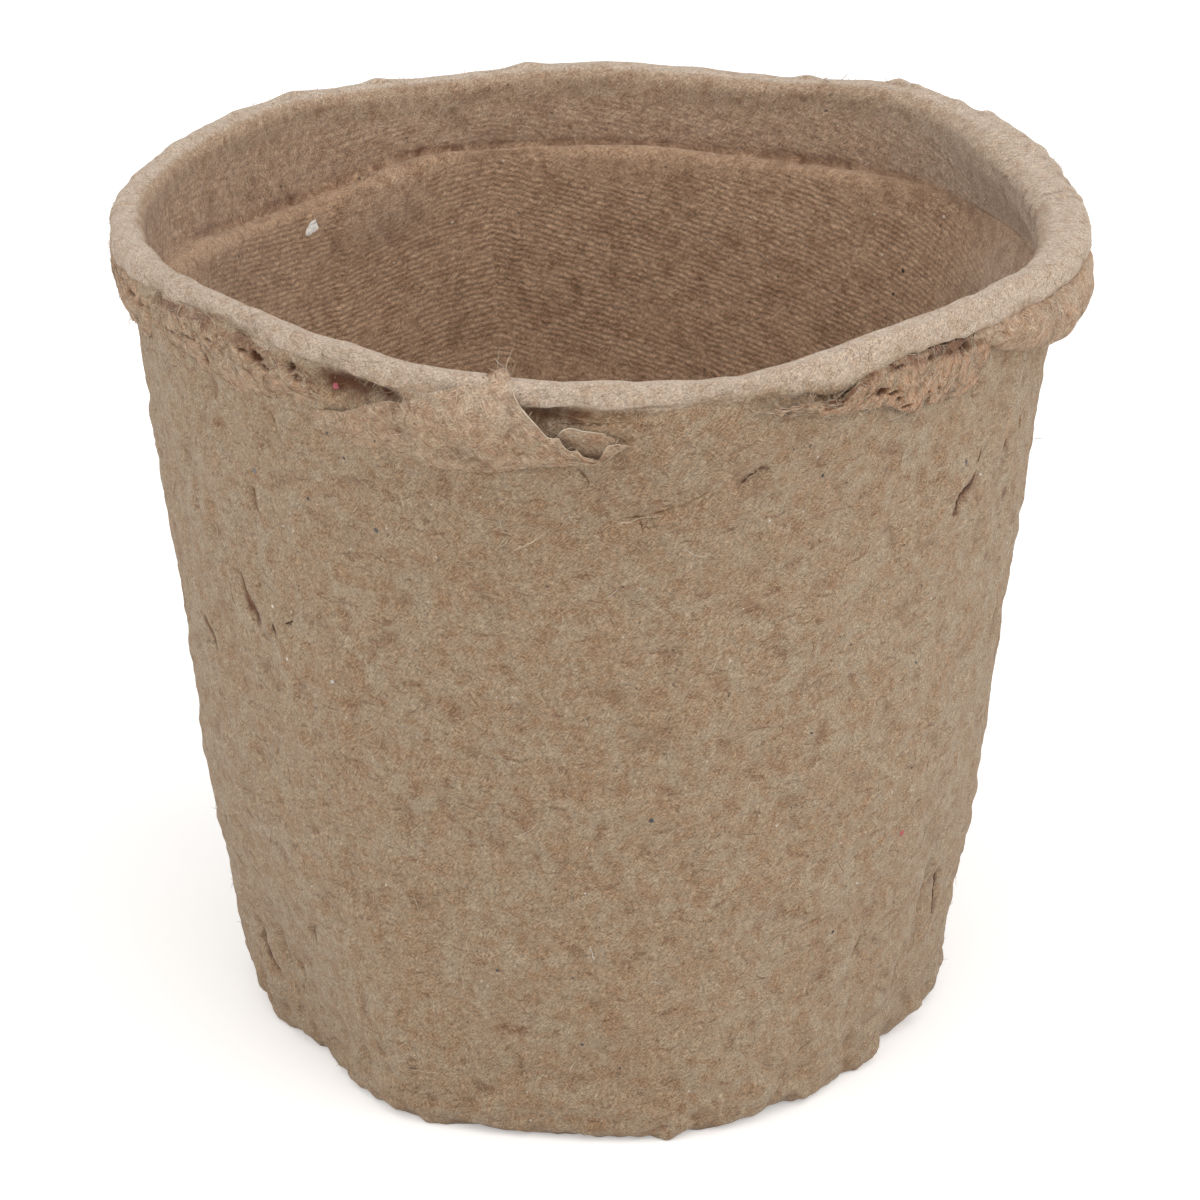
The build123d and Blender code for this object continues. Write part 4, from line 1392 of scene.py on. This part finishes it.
def rollBead(roll):
    azimuth = np.linspace(roll["start"], roll["end"], roll["columns"])
    keys = ("middle", "halfHeight", "halfDepth", "reach")
    middle, halfHeight, halfDepth, reach = (alongRim(azimuth, roll[key]) for key in keys)
    turn = np.linspace(0, 2 * math.pi, roll["around"], endpoint=False)[:, None]
    across = np.broadcast_to(np.radians(azimuth) * rimRadius, (roll["around"], roll["columns"]))
    ring = np.sin(turn) * halfHeight
    lumpLevel, smudgeLevel = roll["noiseLevels"]
    bulge = gridNoise(across, ring + lumpLevel, roll["lumps"], roll["seed"])
    bulge = bulge * ease(halfHeight, *roll["lumpsFrom"])
    level = middle + (halfHeight + bulge) * np.sin(turn)
    outward = reach + (halfDepth + bulge) * np.cos(turn)
    skin = settle(np.broadcast_to(azimuth, level.shape), wallFace(azimuth, level) + outward, level)
    index, faces, bakeMap = tubeFaces(roll["around"], roll["columns"])
    for column, capAt in roll["caps"]:
        order = -1 if column == 0 else 1
        faces.append(index[::order, column].tolist())
        spot = np.c_[np.cos(turn[::order]), np.sin(turn[::order])] * bakeLayout["capHigh"]
        bakeMap.extend((spot + (capAt, roll["capLevel"])).tolist())
    piece = newPiece("right_roll", skin.reshape(-1, 3), faces, "right_roll", tornPulp)
    setMap(piece, "OFBake", bakeMap)
    setPointMap(piece, "FlatMap", np.stack([across, level], axis=-1))
    smudge = gridNoise(across, ring + smudgeLevel, roll["smudges"], roll["seed"])
    # painted shade in the dips between lumps
    setValues(piece, "hollowShade", np.clip(-bulge * roll["hollowShade"], 0, 1))
    start, full, share = roll["smudge"]
    setValues(piece, "stainAndShade", share * ease(smudge, start, full))
    even, share = roll["raw"]
    setValues(piece, "raw", share * np.clip(even - smudge, 0, 1))
    start, full, share, moved = roll["pale"]
    setValues(piece, "pale", share * ease(level + moved * smudge, start, full))
    print("right_roll", len(faces), "faces")
    before, after = roll["outerRows"]
    return np.concatenate([skin[-before:], skin[:after]])


plyFronts["roll"] = rollBead(rightRoll)

# Loose fibres and inclusions, placed on the finished skins
crownRow = int(np.argmax(rows[:, 1]))
outsideRows = np.arange(rowSpan["heel"][0], rowSpan["lip"][1] - 1, -1)
lipRows = np.arange(rowSpan["lip"][1], crownRow, -1)
insideRows = np.arange(rowSpan["corner"][0], rowSpan["collarIn"][1] + 1)
wrappedSkin, wrappedNormals = (np.concatenate([g, g[:, :1]], axis=1) for g in (mouldSkin, mouldNormals))
gridEnd = 1.001  # keeps a spot just inside the last row and column


def sheetSpot(grid, row, column):
    # place on a grid of points, between its rows and columns
    row, column = np.clip(row, 0, grid.shape[0] - gridEnd), np.clip(column, 0, grid.shape[1] - gridEnd)
    low, left = row.astype(int), column.astype(int)
    up, along = (row - low)[..., None], (column - left)[..., None]
    lower = (1 - along) * grid[low, left] + along * grid[low, left + 1]
    upper = (1 - along) * grid[low + 1, left] + along * grid[low + 1, left + 1]
    return (1 - up) * lower + up * upper


def skinSpot(rowNumbers, azimuth, height):
    # place and normal on the moulding
    columns = len(columnAzimuth)
    row = np.interp(height, rows[rowNumbers, 1], rowNumbers)
    column = (np.asarray(azimuth) + 180) / 360 * columns % columns
    return sheetSpot(wrappedSkin, row, column), sheetSpot(wrappedNormals, row, column)


# Strands: how far their middle lies over the skin, a direction none takes, and how their ends narrow
strand = {"over": 0.012, "aside": (0.31, 0.52, 0.79), "ends": 0.2, "narrow": 0.5}


def strandPiece(name, paths, radii, dyes):
    # thin three-sided tubes, narrower at both ends
    count, length, _ = paths.shape
    run = np.gradient(paths, axis=1)
    run /= np.linalg.norm(run, axis=-1, keepdims=True) + tiny
    side = np.cross(run, strand["aside"])
    side /= np.linalg.norm(side, axis=-1, keepdims=True) + tiny
    top = np.cross(side, run)
    narrow = np.sin(np.linspace(strand["ends"], math.pi - strand["ends"], length)) ** strand["narrow"]
    thick = (radii[:, None] * narrow)[..., None]
    turns = np.radians([0, 120, 240])
    skin = np.stack([paths + thick * (math.cos(t) * side + math.sin(t) * top) for t in turns], axis=2)
    index = np.arange(count * length * 3).reshape(count, length, 3)
    faces = []
    for k in range(3):
        j = (k + 1) % 3
        quads = np.stack([index[:, :-1, k], index[:, 1:, k], index[:, 1:, j], index[:, :-1, j]], axis=-1)
        faces.extend(quads.reshape(-1, 4).tolist())
    faces.extend(index[:, 0].tolist())
    faces.extend(index[:, -1, ::-1].tolist())
    piece = newPiece(name, skin.reshape(-1, 3), faces, None, looseFibre)
    setColours(piece, "dye", np.repeat(np.array(dyes), length * 3, axis=0))
    print(name, count, "strands")


fibreDyes = {
    "edge": hexColour("#e0d0bb"),
    "umber": hexColour("#5b4231"),
    "pale": hexColour("#cdbba2"),
    "tan": hexColour("#b0977a"),
    "brown": hexColour("#876648"),
    "dark": hexColour("#4a3628"),
    "white": hexColour("#ddd3c4"),
}


def pickDyes(rng, count, mix):
    names = list(mix)
    picks = rng.choice(len(names), size=count, p=[mix[name] for name in names])
    return [fibreDyes[names[pick]] for pick in picks]


# Fibres felted into the outside: count, length, half thickness, curl in radians, share with a loose end
wallFibres = {
    "count": 1500,
    "levels": (3.0, 66.0),
    "past": (0.5, 0.1),  # how far they run below and above those levels
    "length": (0.5, 2.2),
    "radius": (0.011, 0.024),
    "curl": 1.2,
    "loose": 0.3,
    "looseLift": 0.45,
    "points": 7,
    "mix": {"pale": 0.45, "tan": 0.25, "brown": 0.2, "white": 0.1},
}
lipFibres = {
    **wallFibres,
    "count": 700,
    "levels": (lipBase + 0.6, potHeight - 0.2),
    "length": (0.4, 1.3),
    "radius": (0.010, 0.018),
    "mix": {"pale": 0.35, "tan": 0.25, "brown": 0.2, "white": 0.2},
}
insideFibres = {
    **wallFibres,
    "count": 1300,
    "levels": (40.0, lipBase - 0.2),
    "length": (0.4, 1.6),
    "radius": (0.010, 0.018),
    "mix": {"pale": 0.3, "tan": 0.4, "brown": 0.25, "white": 0.05},
}


def strayPaths(rng, fibres, length):
    # how far fibres run across and up at each of their points as they curl
    along = np.linspace(0, 1, fibres["points"])
    start, curl = rng.uniform(0, 2 * math.pi, len(length)), rng.normal(0, fibres["curl"], len(length))
    angle = start[:, None] + curl[:, None] * along
    step = length[:, None] / (fibres["points"] - 1)
    return along, np.cumsum(np.cos(angle) * step, axis=1), np.cumsum(np.sin(angle) * step, axis=1)


def layFibres(name, fibres, rowNumbers, seed):
    rng = np.random.default_rng(seed)
    count = fibres["count"]
    (lowest, highest), (below, above) = fibres["levels"], fibres["past"]
    azimuth, height = rng.uniform(-180, 180, count), rng.uniform(lowest, highest, count)
    length, radius = rng.uniform(*fibres["length"], count), rng.uniform(*fibres["radius"], count)
    along, across, up = strayPaths(rng, fibres, length)
    up = np.clip(height[:, None] + up, lowest - below, highest + above)
    turned = azimuth[:, None] + np.degrees(across / wallRadius(up))
    place, normal = skinSpot(rowNumbers, turned, up)
    lift = np.where(rng.random(count) < fibres["loose"], rng.uniform(0, fibres["looseLift"], count), 0)
    paths = place + normal * (strand["over"] + lift[:, None] * along**2)[..., None]
    strandPiece(name, paths, radius, pickDyes(rng, count, fibres["mix"]))


layFibres("wall_fibres", wallFibres, outsideRows, seed=41)
layFibres("lip_fibres", lipFibres, lipRows, seed=43)
layFibres("inside_fibres", insideFibres, insideRows, seed=44)

# Fibres felted over the plies: counts, lengths, half thickness and lift in mm
plyFibres = {
    "count": {"flap": 170, "curl": 10, "skirt": 460, "scab": 280, "fold": 560, "roll": 160},
    "length": (0.5, 2.0),
    "radius": (0.011, 0.022),
    "curl": 1.4,
    "lift": (0.0, 0.14),
    "points": 7,
    "mix": {"pale": 0.42, "tan": 0.2, "brown": 0.23, "white": 0.15},
}


def layPlyFibres(fibres, seed):
    rng = np.random.default_rng(seed)
    paths = []
    for key, count in fibres["count"].items():
        grid = plyFronts[key]
        rowStep = np.linalg.norm(grid[1:] - grid[:-1], axis=-1).mean()
        columnStep = np.linalg.norm(grid[:, 1:] - grid[:, :-1], axis=-1).mean()
        row, column = rng.uniform(0, len(grid) - 1, count), rng.uniform(0, grid.shape[1] - 1, count)
        along, across, up = strayPaths(rng, fibres, rng.uniform(*fibres["length"], count))
        place = sheetSpot(grid, row[:, None] + up / rowStep, column[:, None] + across / columnStep)
        outward = place * (1, 1, 0)
        outward /= np.linalg.norm(outward, axis=-1, keepdims=True)
        lift = rng.uniform(*fibres["lift"], count)[:, None] * np.sin(math.pi * along) + strand["over"]
        paths.append(place + outward * lift[..., None])
    paths = np.concatenate(paths)
    radius = rng.uniform(*fibres["radius"], len(paths))
    strandPiece("ply_fibres", paths, radius, pickDyes(rng, len(paths), fibres["mix"]))


layPlyFibres(plyFibres, seed=47)

# Fuzz: short hairs that stand out of the skin and out of torn edges
lipFirst, lipLast = rowSpan["lip"]
fuzz = {
    "points": 6,
    "spread": 0.7,
    "bend": 0.5,
    "rootDepth": 0.05,
    "ground": 0.03,
    "radius": (0.012, 0.024),
    "mix": {"pale": 0.5, "tan": 0.3, "brown": 0.15, "white": 0.05},
    "skin": [  # count, first and last row, shortest and longest: lip, torn band under it, wall
        (600, lipFirst + 4, lipLast - 4, 0.1, 0.5),
        (700, lipLast - 8, lipLast + 10, 0.15, 0.7),
        (900, lipLast, rowSpan["heel"][1], 0.15, 0.5),
    ],
    "edges": [  # ply, edge, count, shortest and longest
        ("flap", "upper", 90, 0.15, 0.6),
        ("flap", "lower", 40, 0.15, 0.5),
        ("skirt", "upper", 110, 0.2, 0.9),
        ("scab", "lower", 60, 0.3, 1.2),
        ("scab", "upper", 40, 0.2, 0.7),
        ("fold", "lower", 140, 0.2, 0.9),
        ("fold", "upper", 220, 0.2, 1.1),
    ],
    "edgeRows": {"upper": (-1, -4), "lower": (0, 3)},  # row at the tip, and one further in
}


def growHairs(name, hairs, look, rng):
    # hairs are sets of roots, directions and lengths
    roots, ways, lengths = (np.concatenate(part) for part in zip(*hairs))
    along = np.linspace(0, 1, fuzz["points"])
    heading = ways + fuzz["spread"] * rng.normal(size=roots.shape)
    heading /= np.linalg.norm(heading, axis=1, keepdims=True)
    bend = fuzz["bend"] * rng.normal(size=roots.shape)
    reach = lengths[:, None, None] * along[None, :, None]
    way = heading[:, None] + bend[:, None] * along[None, :, None]
    paths = roots[:, None] - fuzz["rootDepth"] * ways[:, None] + reach * way
    paths[..., 2] = np.maximum(paths[..., 2], fuzz["ground"])  # none goes under the pot
    radius = rng.uniform(*look["radius"], len(paths))
    strandPiece(name, paths, radius, pickDyes(rng, len(paths), look["mix"]))


def growFuzz(seed):
    rng = np.random.default_rng(seed)
    hairs = []
    for count, rowLow, rowHigh, shortest, longest in fuzz["skin"]:
        row, column = rng.integers(rowLow, rowHigh, count), rng.integers(0, len(columnAzimuth), count)
        length = rng.uniform(shortest, longest, count)
        hairs.append((mouldSkin[row, column], mouldNormals[row, column], length))
    for key, edge, count, shortest, longest in fuzz["edges"]:
        front = plyFronts[key]
        column = rng.integers(1, front.shape[1] - 1, count)
        tipRow, innerRow = fuzz["edgeRows"][edge]
        way = front[tipRow, column] - front[innerRow, column]
        way /= np.linalg.norm(way, axis=1, keepdims=True)
        hairs.append((front[tipRow, column], way, rng.uniform(shortest, longest, count)))
    growHairs("fuzz", hairs, fuzz, rng)


growFuzz(seed=53)

# Tuft on the flap's peak, and tatters on the back of the rim
tufts = {
    "places": [  # azimuth, spread in degrees, count, length, height over the rim
        (-10.2, 0.5, 9, 1.1, 0.35),
        (-9.6, 0.2, 4, 1.7, 0.35),
        (150.5, 1.4, 7, 1.3, 0.0),
        (140.5, 1.0, 6, 0.9, 0.0),
        (-137.0, 2.0, 6, 0.8, 0.0),
    ],
    "way": (0.0, 0.1, 1.0),
    "lengths": (0.5, 1.0),
    "radius": (0.02, 0.035),
    "mix": {"pale": 0.6, "white": 0.25, "brown": 0.15},
}


def growTufts(seed):
    rng = np.random.default_rng(seed)
    hairs = []
    columns = len(columnAzimuth)
    for azimuth, spread, count, length, over in tufts["places"]:
        at = rng.normal(azimuth, spread, count)
        column = np.round((at + 180) / 360 * columns).astype(int) % columns
        ways = np.tile(tufts["way"], (count, 1))
        lengths = length * rng.uniform(*tufts["lengths"], count)
        hairs.append((mouldSkin[crownRow, column] + (0, 0, over), ways, lengths))
    growHairs("rim_tufts", hairs, tufts, rng)


growTufts(seed=67)

# Cracks, drawn as dark and brown strands that paint the shade in their gaps, and long fibres along the skin:
# half thickness, dye, points as azimuth and height
skinLines = [
    (0.04, "brown", [(-1.7, 62.9), (-0.7, 61.8), (-0.4, 61.5), (-1.0, 60.9)]),
    (0.05, "pale", [(2.6, 57.7), (5.0, 58.0), (7.5, 58.5)]),
    (0.04, "brown", [(2.0, 58.1), (6.0, 58.3), (11.3, 59.4), (14.5, 60.4)]),
    (0.06, "umber", [(17.4, 60.3), (18.6, 60.9), (20.5, 61.6)]),
    (0.04, "brown", [(5.5, 58.2), (5.9, 57.0)]),
    (0.11, "umber", [(54.2, 51.5), (54.6, 52.2), (55.5, 52.8), (56.9, 53.4), (58.7, 53.7)]),
    (0.06, "dark", [(-71.3, 66.0), (-70.0, 65.8), (-69.0, 65.6)]),
    (0.07, "dark", [(-46.9, 66.7), (-45.1, 66.8), (-43.0, 66.4)]),
    (0.05, "dark", [(-46.0, 66.4), (-44.5, 66.5), (-43.2, 66.2)]),
    (0.04, "brown", [(-44.0, 62.0), (-43.3, 60.9), (-42.8, 59.6)]),
    (0.03, "brown", [(-6.0, 66.4), (-2.0, 66.5), (3.0, 66.5)]),
    (0.03, "umber", [(-4.5, 66.0), (0.0, 66.2), (4.0, 66.4)]),
    (0.03, "tan", [(-5.5, 66.7), (-1.0, 66.4), (5.0, 66.3)]),
    (0.03, "brown", [(-35.0, 65.4), (-31.0, 65.9), (-27.0, 66.2)]),
    (0.03, "umber", [(-33.0, 66.2), (-29.0, 66.4), (-25.0, 66.3)]),
    (0.04, "pale", [(-10.0, 55.0), (-7.5, 56.0), (-5.0, 57.2)]),
    (0.04, "pale", [(-24.0, 58.5), (-23.6, 57.6), (-23.6, 56.8)]),
    (0.07, "brown", [(69.5, 56.9), (69.9, 55.7)]),
    (0.07, "brown", [(66.3, 55.6), (66.6, 54.4)]),
    (0.05, "brown", [(59.2, 56.2), (59.0, 54.9)]),
    (0.05, "brown", [(58.7, 54.3), (57.7, 53.9)]),
    (0.06, "brown", [(-55.6, 46.1), (-54.4, 45.3), (-53.1, 44.0), (-51.7, 42.6)]),
    (0.07, "brown", [(-67.3, 39.5), (-66.7, 38.5), (-65.5, 37.4)]),
    (0.06, "umber", [(-48.5, 43.0), (-47.8, 42.2)]),
    (0.06, "dark", [(-45.4, 43.6), (-43.9, 44.1)]),
    (0.06, "brown", [(-50.0, 54.3), (-50.0, 53.3), (-49.8, 52.2)]),
    (0.07, "umber", [(-72.2, 9.9), (-71.8, 8.1), (-68.7, 6.7)]),
    (0.05, "brown", [(-49.0, 15.0), (-49.1, 13.4)]),
    (0.05, "umber", [(-29.5, 3.1), (-28.2, 3.6)]),
    (0.07, "umber", [(70.1, 15.6), (70.8, 13.5), (72.0, 11.2)]),
    (0.06, "brown", [(44.9, 13.1), (45.8, 14.0), (46.3, 14.8)]),
    (0.04, "white", [(-0.5, 19.1), (0.2, 17.7)]),
]
# Each is a main strand and two shorter ones that stray beside it: start, end, share of the thickness
lineStrands = {
    "parts": [(0.0, 1.0, 0.8), (0.05, 0.55, 1.0), (0.4, 0.9, 0.9)],
    "points": 11,
    "wander": (0.07, 0.06),  # degrees and mm
}


def drawSkinLines(seed):
    rng = np.random.default_rng(seed)
    paths, radii, dyes = [], [], []
    for radius, dye, points in skinLines:
        last = len(points) - 1
        for start, end, thin in lineStrands["parts"]:
            at = np.linspace(start * last, end * last, lineStrands["points"])
            spot = []
            for values, wander in zip(zip(*points), lineStrands["wander"]):
                spot.append(np.interp(at, range(len(points)), values) + rng.normal(0, wander, len(at)))
            paths.append(skinSpot(outsideRows, *spot)[0])
            radii.append(radius * thin)
            dyes.append(fibreDyes[dye])
    strandPiece("skin_cracks", np.array(paths), np.array(radii), dyes)


drawSkinLines(seed=59)

# Bright torn edges of the flap and its curl: ply, azimuths from and to, half thickness
brightEdges = [
    ("flap", frontFlap, -9.2, -4.4, 0.05),
    ("flap", frontFlap, -3.9, 1.0, 0.03),
    ("flap", frontFlap, 1.1, 3.7, 0.04),
    ("curl", flapCurl, -4.2, 1.4, 0.07),
]
brightPoints = 33


def drawBrightEdges():
    paths = []
    for key, ply, fromAz, toAz, _ in brightEdges:
        start, end = ply["upper"][0][0], ply["upper"][-1][0]
        edge = plyFronts[key][-1]
        at = (np.linspace(fromAz, toAz, brightPoints) - start) / (end - start) * (len(edge) - 1)
        paths.append(np.stack([np.interp(at, range(len(edge)), axis) for axis in edge.T], axis=1))
    radii = np.array([row[-1] for row in brightEdges])
    strandPiece("torn_edges", np.array(paths), radii, [fibreDyes["edge"]] * len(paths))


drawBrightEdges()

# Inclusions outside and inside: azimuth, height, half width, dye
outsideBits = [
    (7.8, 30.8, 0.30, "#4b4a4f"), (38.6, 16.6, 0.22, "#3a3533"), (50.5, 23.8, 0.40, "#a8605c"),
    (50.7, 29.8, 0.16, "#403a38"), (30.5, 36.5, 0.15, "#403a38"), (34.0, 44.5, 0.14, "#4b4643"),
    (42.3, 20.6, 0.14, "#e3ddd3"), (-32.6, 65.6, 0.36, "#b4606c"), (55.7, 55.6, 0.30, "#6b6461"),
    (-27.7, 54.8, 0.28, "#5b5754"), (28.9, 59.3, 0.20, "#4b4643"), (36.0, 43.5, 0.18, "#4b4643"),
    (49.1, 39.6, 0.16, "#55545a"), (49.3, 46.1, 0.15, "#4b4643"), (-33.9, 62.1, 0.22, "#5b554f"),
    (-31.7, 60.3, 0.20, "#4b4643"), (-38.8, 55.5, 0.18, "#4b4643"), (-48.8, 56.0, 0.30, "#7d7b7a"),
    (-48.1, 44.6, 0.22, "#d2c8bb"), (-45.5, 40.6, 0.20, "#d2c8bb"), (-36.7, 40.3, 0.24, "#cfc8c0"),
    (-14.0, 16.4, 0.18, "#5b5754"), (-1.7, 9.6, 0.18, "#4a464d"), (-3.0, 16.0, 0.15, "#5b5754"),
    (4.1, 7.3, 0.15, "#4b4643"),
]
insideBits = [
    (-137.6, 61.3, 0.75, "#f0ece6"), (-136.8, 61.0, 0.50, "#ece7df"), (-120.5, 61.3, 0.18, "#3d3734"),
    (133.5, 56.0, 0.22, "#3a3330"), (134.5, 53.8, 0.18, "#3a3330"), (128.0, 61.5, 0.20, "#d9d2c6"),
]


# Shape of a bit: corners, least and full width of a corner, its crown and the most it stands out, its root
bitShape = {"sides": 9, "corner": (0.6, 1.0), "crown": 0.22, "mostCrown": 0.07, "root": 0.5}


def bedInclusions(seed):
    rng = np.random.default_rng(seed)
    sides, points, faces, dyes = bitShape["sides"], [], [], []
    turns = np.linspace(0, 2 * math.pi, sides, endpoint=False)
    bits = [(outsideRows, *bit) for bit in outsideBits] + [(insideRows, *bit) for bit in insideBits]
    for rowNumbers, azimuth, height, radius, dye in bits:
        place, normal = (spot[0] for spot in skinSpot(rowNumbers, np.array([azimuth]), np.array([height])))
        across = np.cross(normal, (0, 0, 1))
        across /= np.linalg.norm(across)
        up = np.cross(across, normal)
        ragged = radius * rng.uniform(*bitShape["corner"], sides)
        rim = place + np.outer(ragged * np.cos(turns), across) + np.outer(ragged * np.sin(turns), up)
        crown = min(bitShape["crown"] * radius, bitShape["mostCrown"])
        first = len(points)
        points.extend([*rim, place + crown * normal, place - bitShape["root"] * radius * normal])
        for k in range(sides):
            j = (k + 1) % sides
            faces.append((first + j, first + k, first + sides))
            faces.append((first + k, first + j, first + sides + 1))
        dyes.extend([hexColour(dye)] * (sides + 2))
    piece = newPiece("inclusions", points, faces, None, inclusion)
    piece.data.polygons.foreach_set("use_smooth", np.zeros(len(faces), bool))
    setColours(piece, "dye", dyes)
    print("inclusions", len(bits))


bedInclusions(seed=71)

# Stage


def areaLight(name, place, aim, size, power):
    light = bpy.data.lights.new(name, "AREA")
    light.shape = "RECTANGLE"
    light.size, light.size_y = size
    light.energy = power
    lamp = addObject(name, light)
    lamp.location = place
    lamp.rotation_euler = (Vector(aim) - Vector(place)).to_track_quat("-Z", "Y").to_euler()


studio = {
    "worldLight": 0.62,
    "floorColour": "#f4f3f1",
    "floorRoughness": 0.9,
    "floorGlow": 0.35,
    "floorReach": 3.0,
    "lamps": [  # name, place, aim, size, watts
        ("top softbox", (0.08, -0.32, 0.68), (0, 0, 0.04), (0.8, 0.8), 2.7),
        ("left softbox", (-0.75, -0.25, 0.3), (0, 0, 0.035), (0.5, 0.7), 1.4),
        ("right softbox", (0.75, -0.25, 0.3), (0, 0, 0.035), (0.5, 0.7), 1.8),
    ],
}
for lampName, place, aim, size, power in studio["lamps"]:
    areaLight(lampName, place, aim, size, power)


def whiteForCamera(tree):
    path = addNode(tree, "LightPath", {})
    rays = [path.outputs[key] for key in ("Is Camera Ray", "Is Glossy Ray", "Is Transmission Ray")]
    seen = addNode(tree, "Math", {0: rays[0], 1: rays[1]}, operation="MAXIMUM")
    return addNode(tree, "Math", {0: seen, 1: rays[2]}, operation="MAXIMUM")


world = bpy.data.worlds.new("studio")
world.use_nodes = True
bpy.context.scene.world = world
inputs = {"Value": whiteForCamera(world.node_tree), "To Min": studio["worldLight"], "To Max": 1.0}
strength = addNode(world.node_tree, "MapRange", inputs)
background = world.node_tree.nodes["Background"]
fillInputs(world.node_tree, background, {"Color": (1, 1, 1, 1), "Strength": strength})

floorMesh = bpy.data.meshes.new("floor")
reach = studio["floorReach"]
floorCorners = [(-reach, -reach, 0), (reach, -reach, 0), (reach, reach, 0), (-reach, reach, 0)]
floorMesh.from_pydata(floorCorners, [], [(0, 1, 2, 3)])
floor = addObject("floor", floorMesh)
paper, paperTree, paperShader = newMaterial("backdrop paper, matt white")
inputs = {0: whiteForCamera(paperTree), 1: studio["floorGlow"]}
finish = {
    "Base Color": hexColour(studio["floorColour"]),
    "Roughness": studio["floorRoughness"],
    "Specular IOR Level": 0.0,
    "Emission Color": (1, 1, 1, 1),
    "Emission Strength": addNode(paperTree, "Math", inputs, operation="MULTIPLY"),
}
fillInputs(paperTree, paperShader, finish)
floorMesh.materials.append(paper)

camera = {
    "lens": 197.9,
    "sensor": 36.0,
    "distance": 0.5513,
    "elevation": 22.70,
    "aimHeight": 0.03508,
    "shift": (0.0056, 0.0055),
    "clipStart": 0.01,
}
cameraData = bpy.data.cameras.new("camera")
cameraData.lens = camera["lens"]
cameraData.sensor_width = camera["sensor"]
cameraData.sensor_fit = "HORIZONTAL"
cameraData.shift_x, cameraData.shift_y = camera["shift"]
cameraData.clip_start = camera["clipStart"]
eye = addObject("camera", cameraData)
rise = math.radians(camera["elevation"])
away = camera["distance"] * math.cos(rise)
eye.location = (0, -away, camera["aimHeight"] + camera["distance"] * math.sin(rise))
eye.rotation_euler = (math.pi / 2 - rise, 0, 0)
bpy.context.scene.camera = eye
bpy.context.scene.view_settings.view_transform = "Standard"
print("stage set")
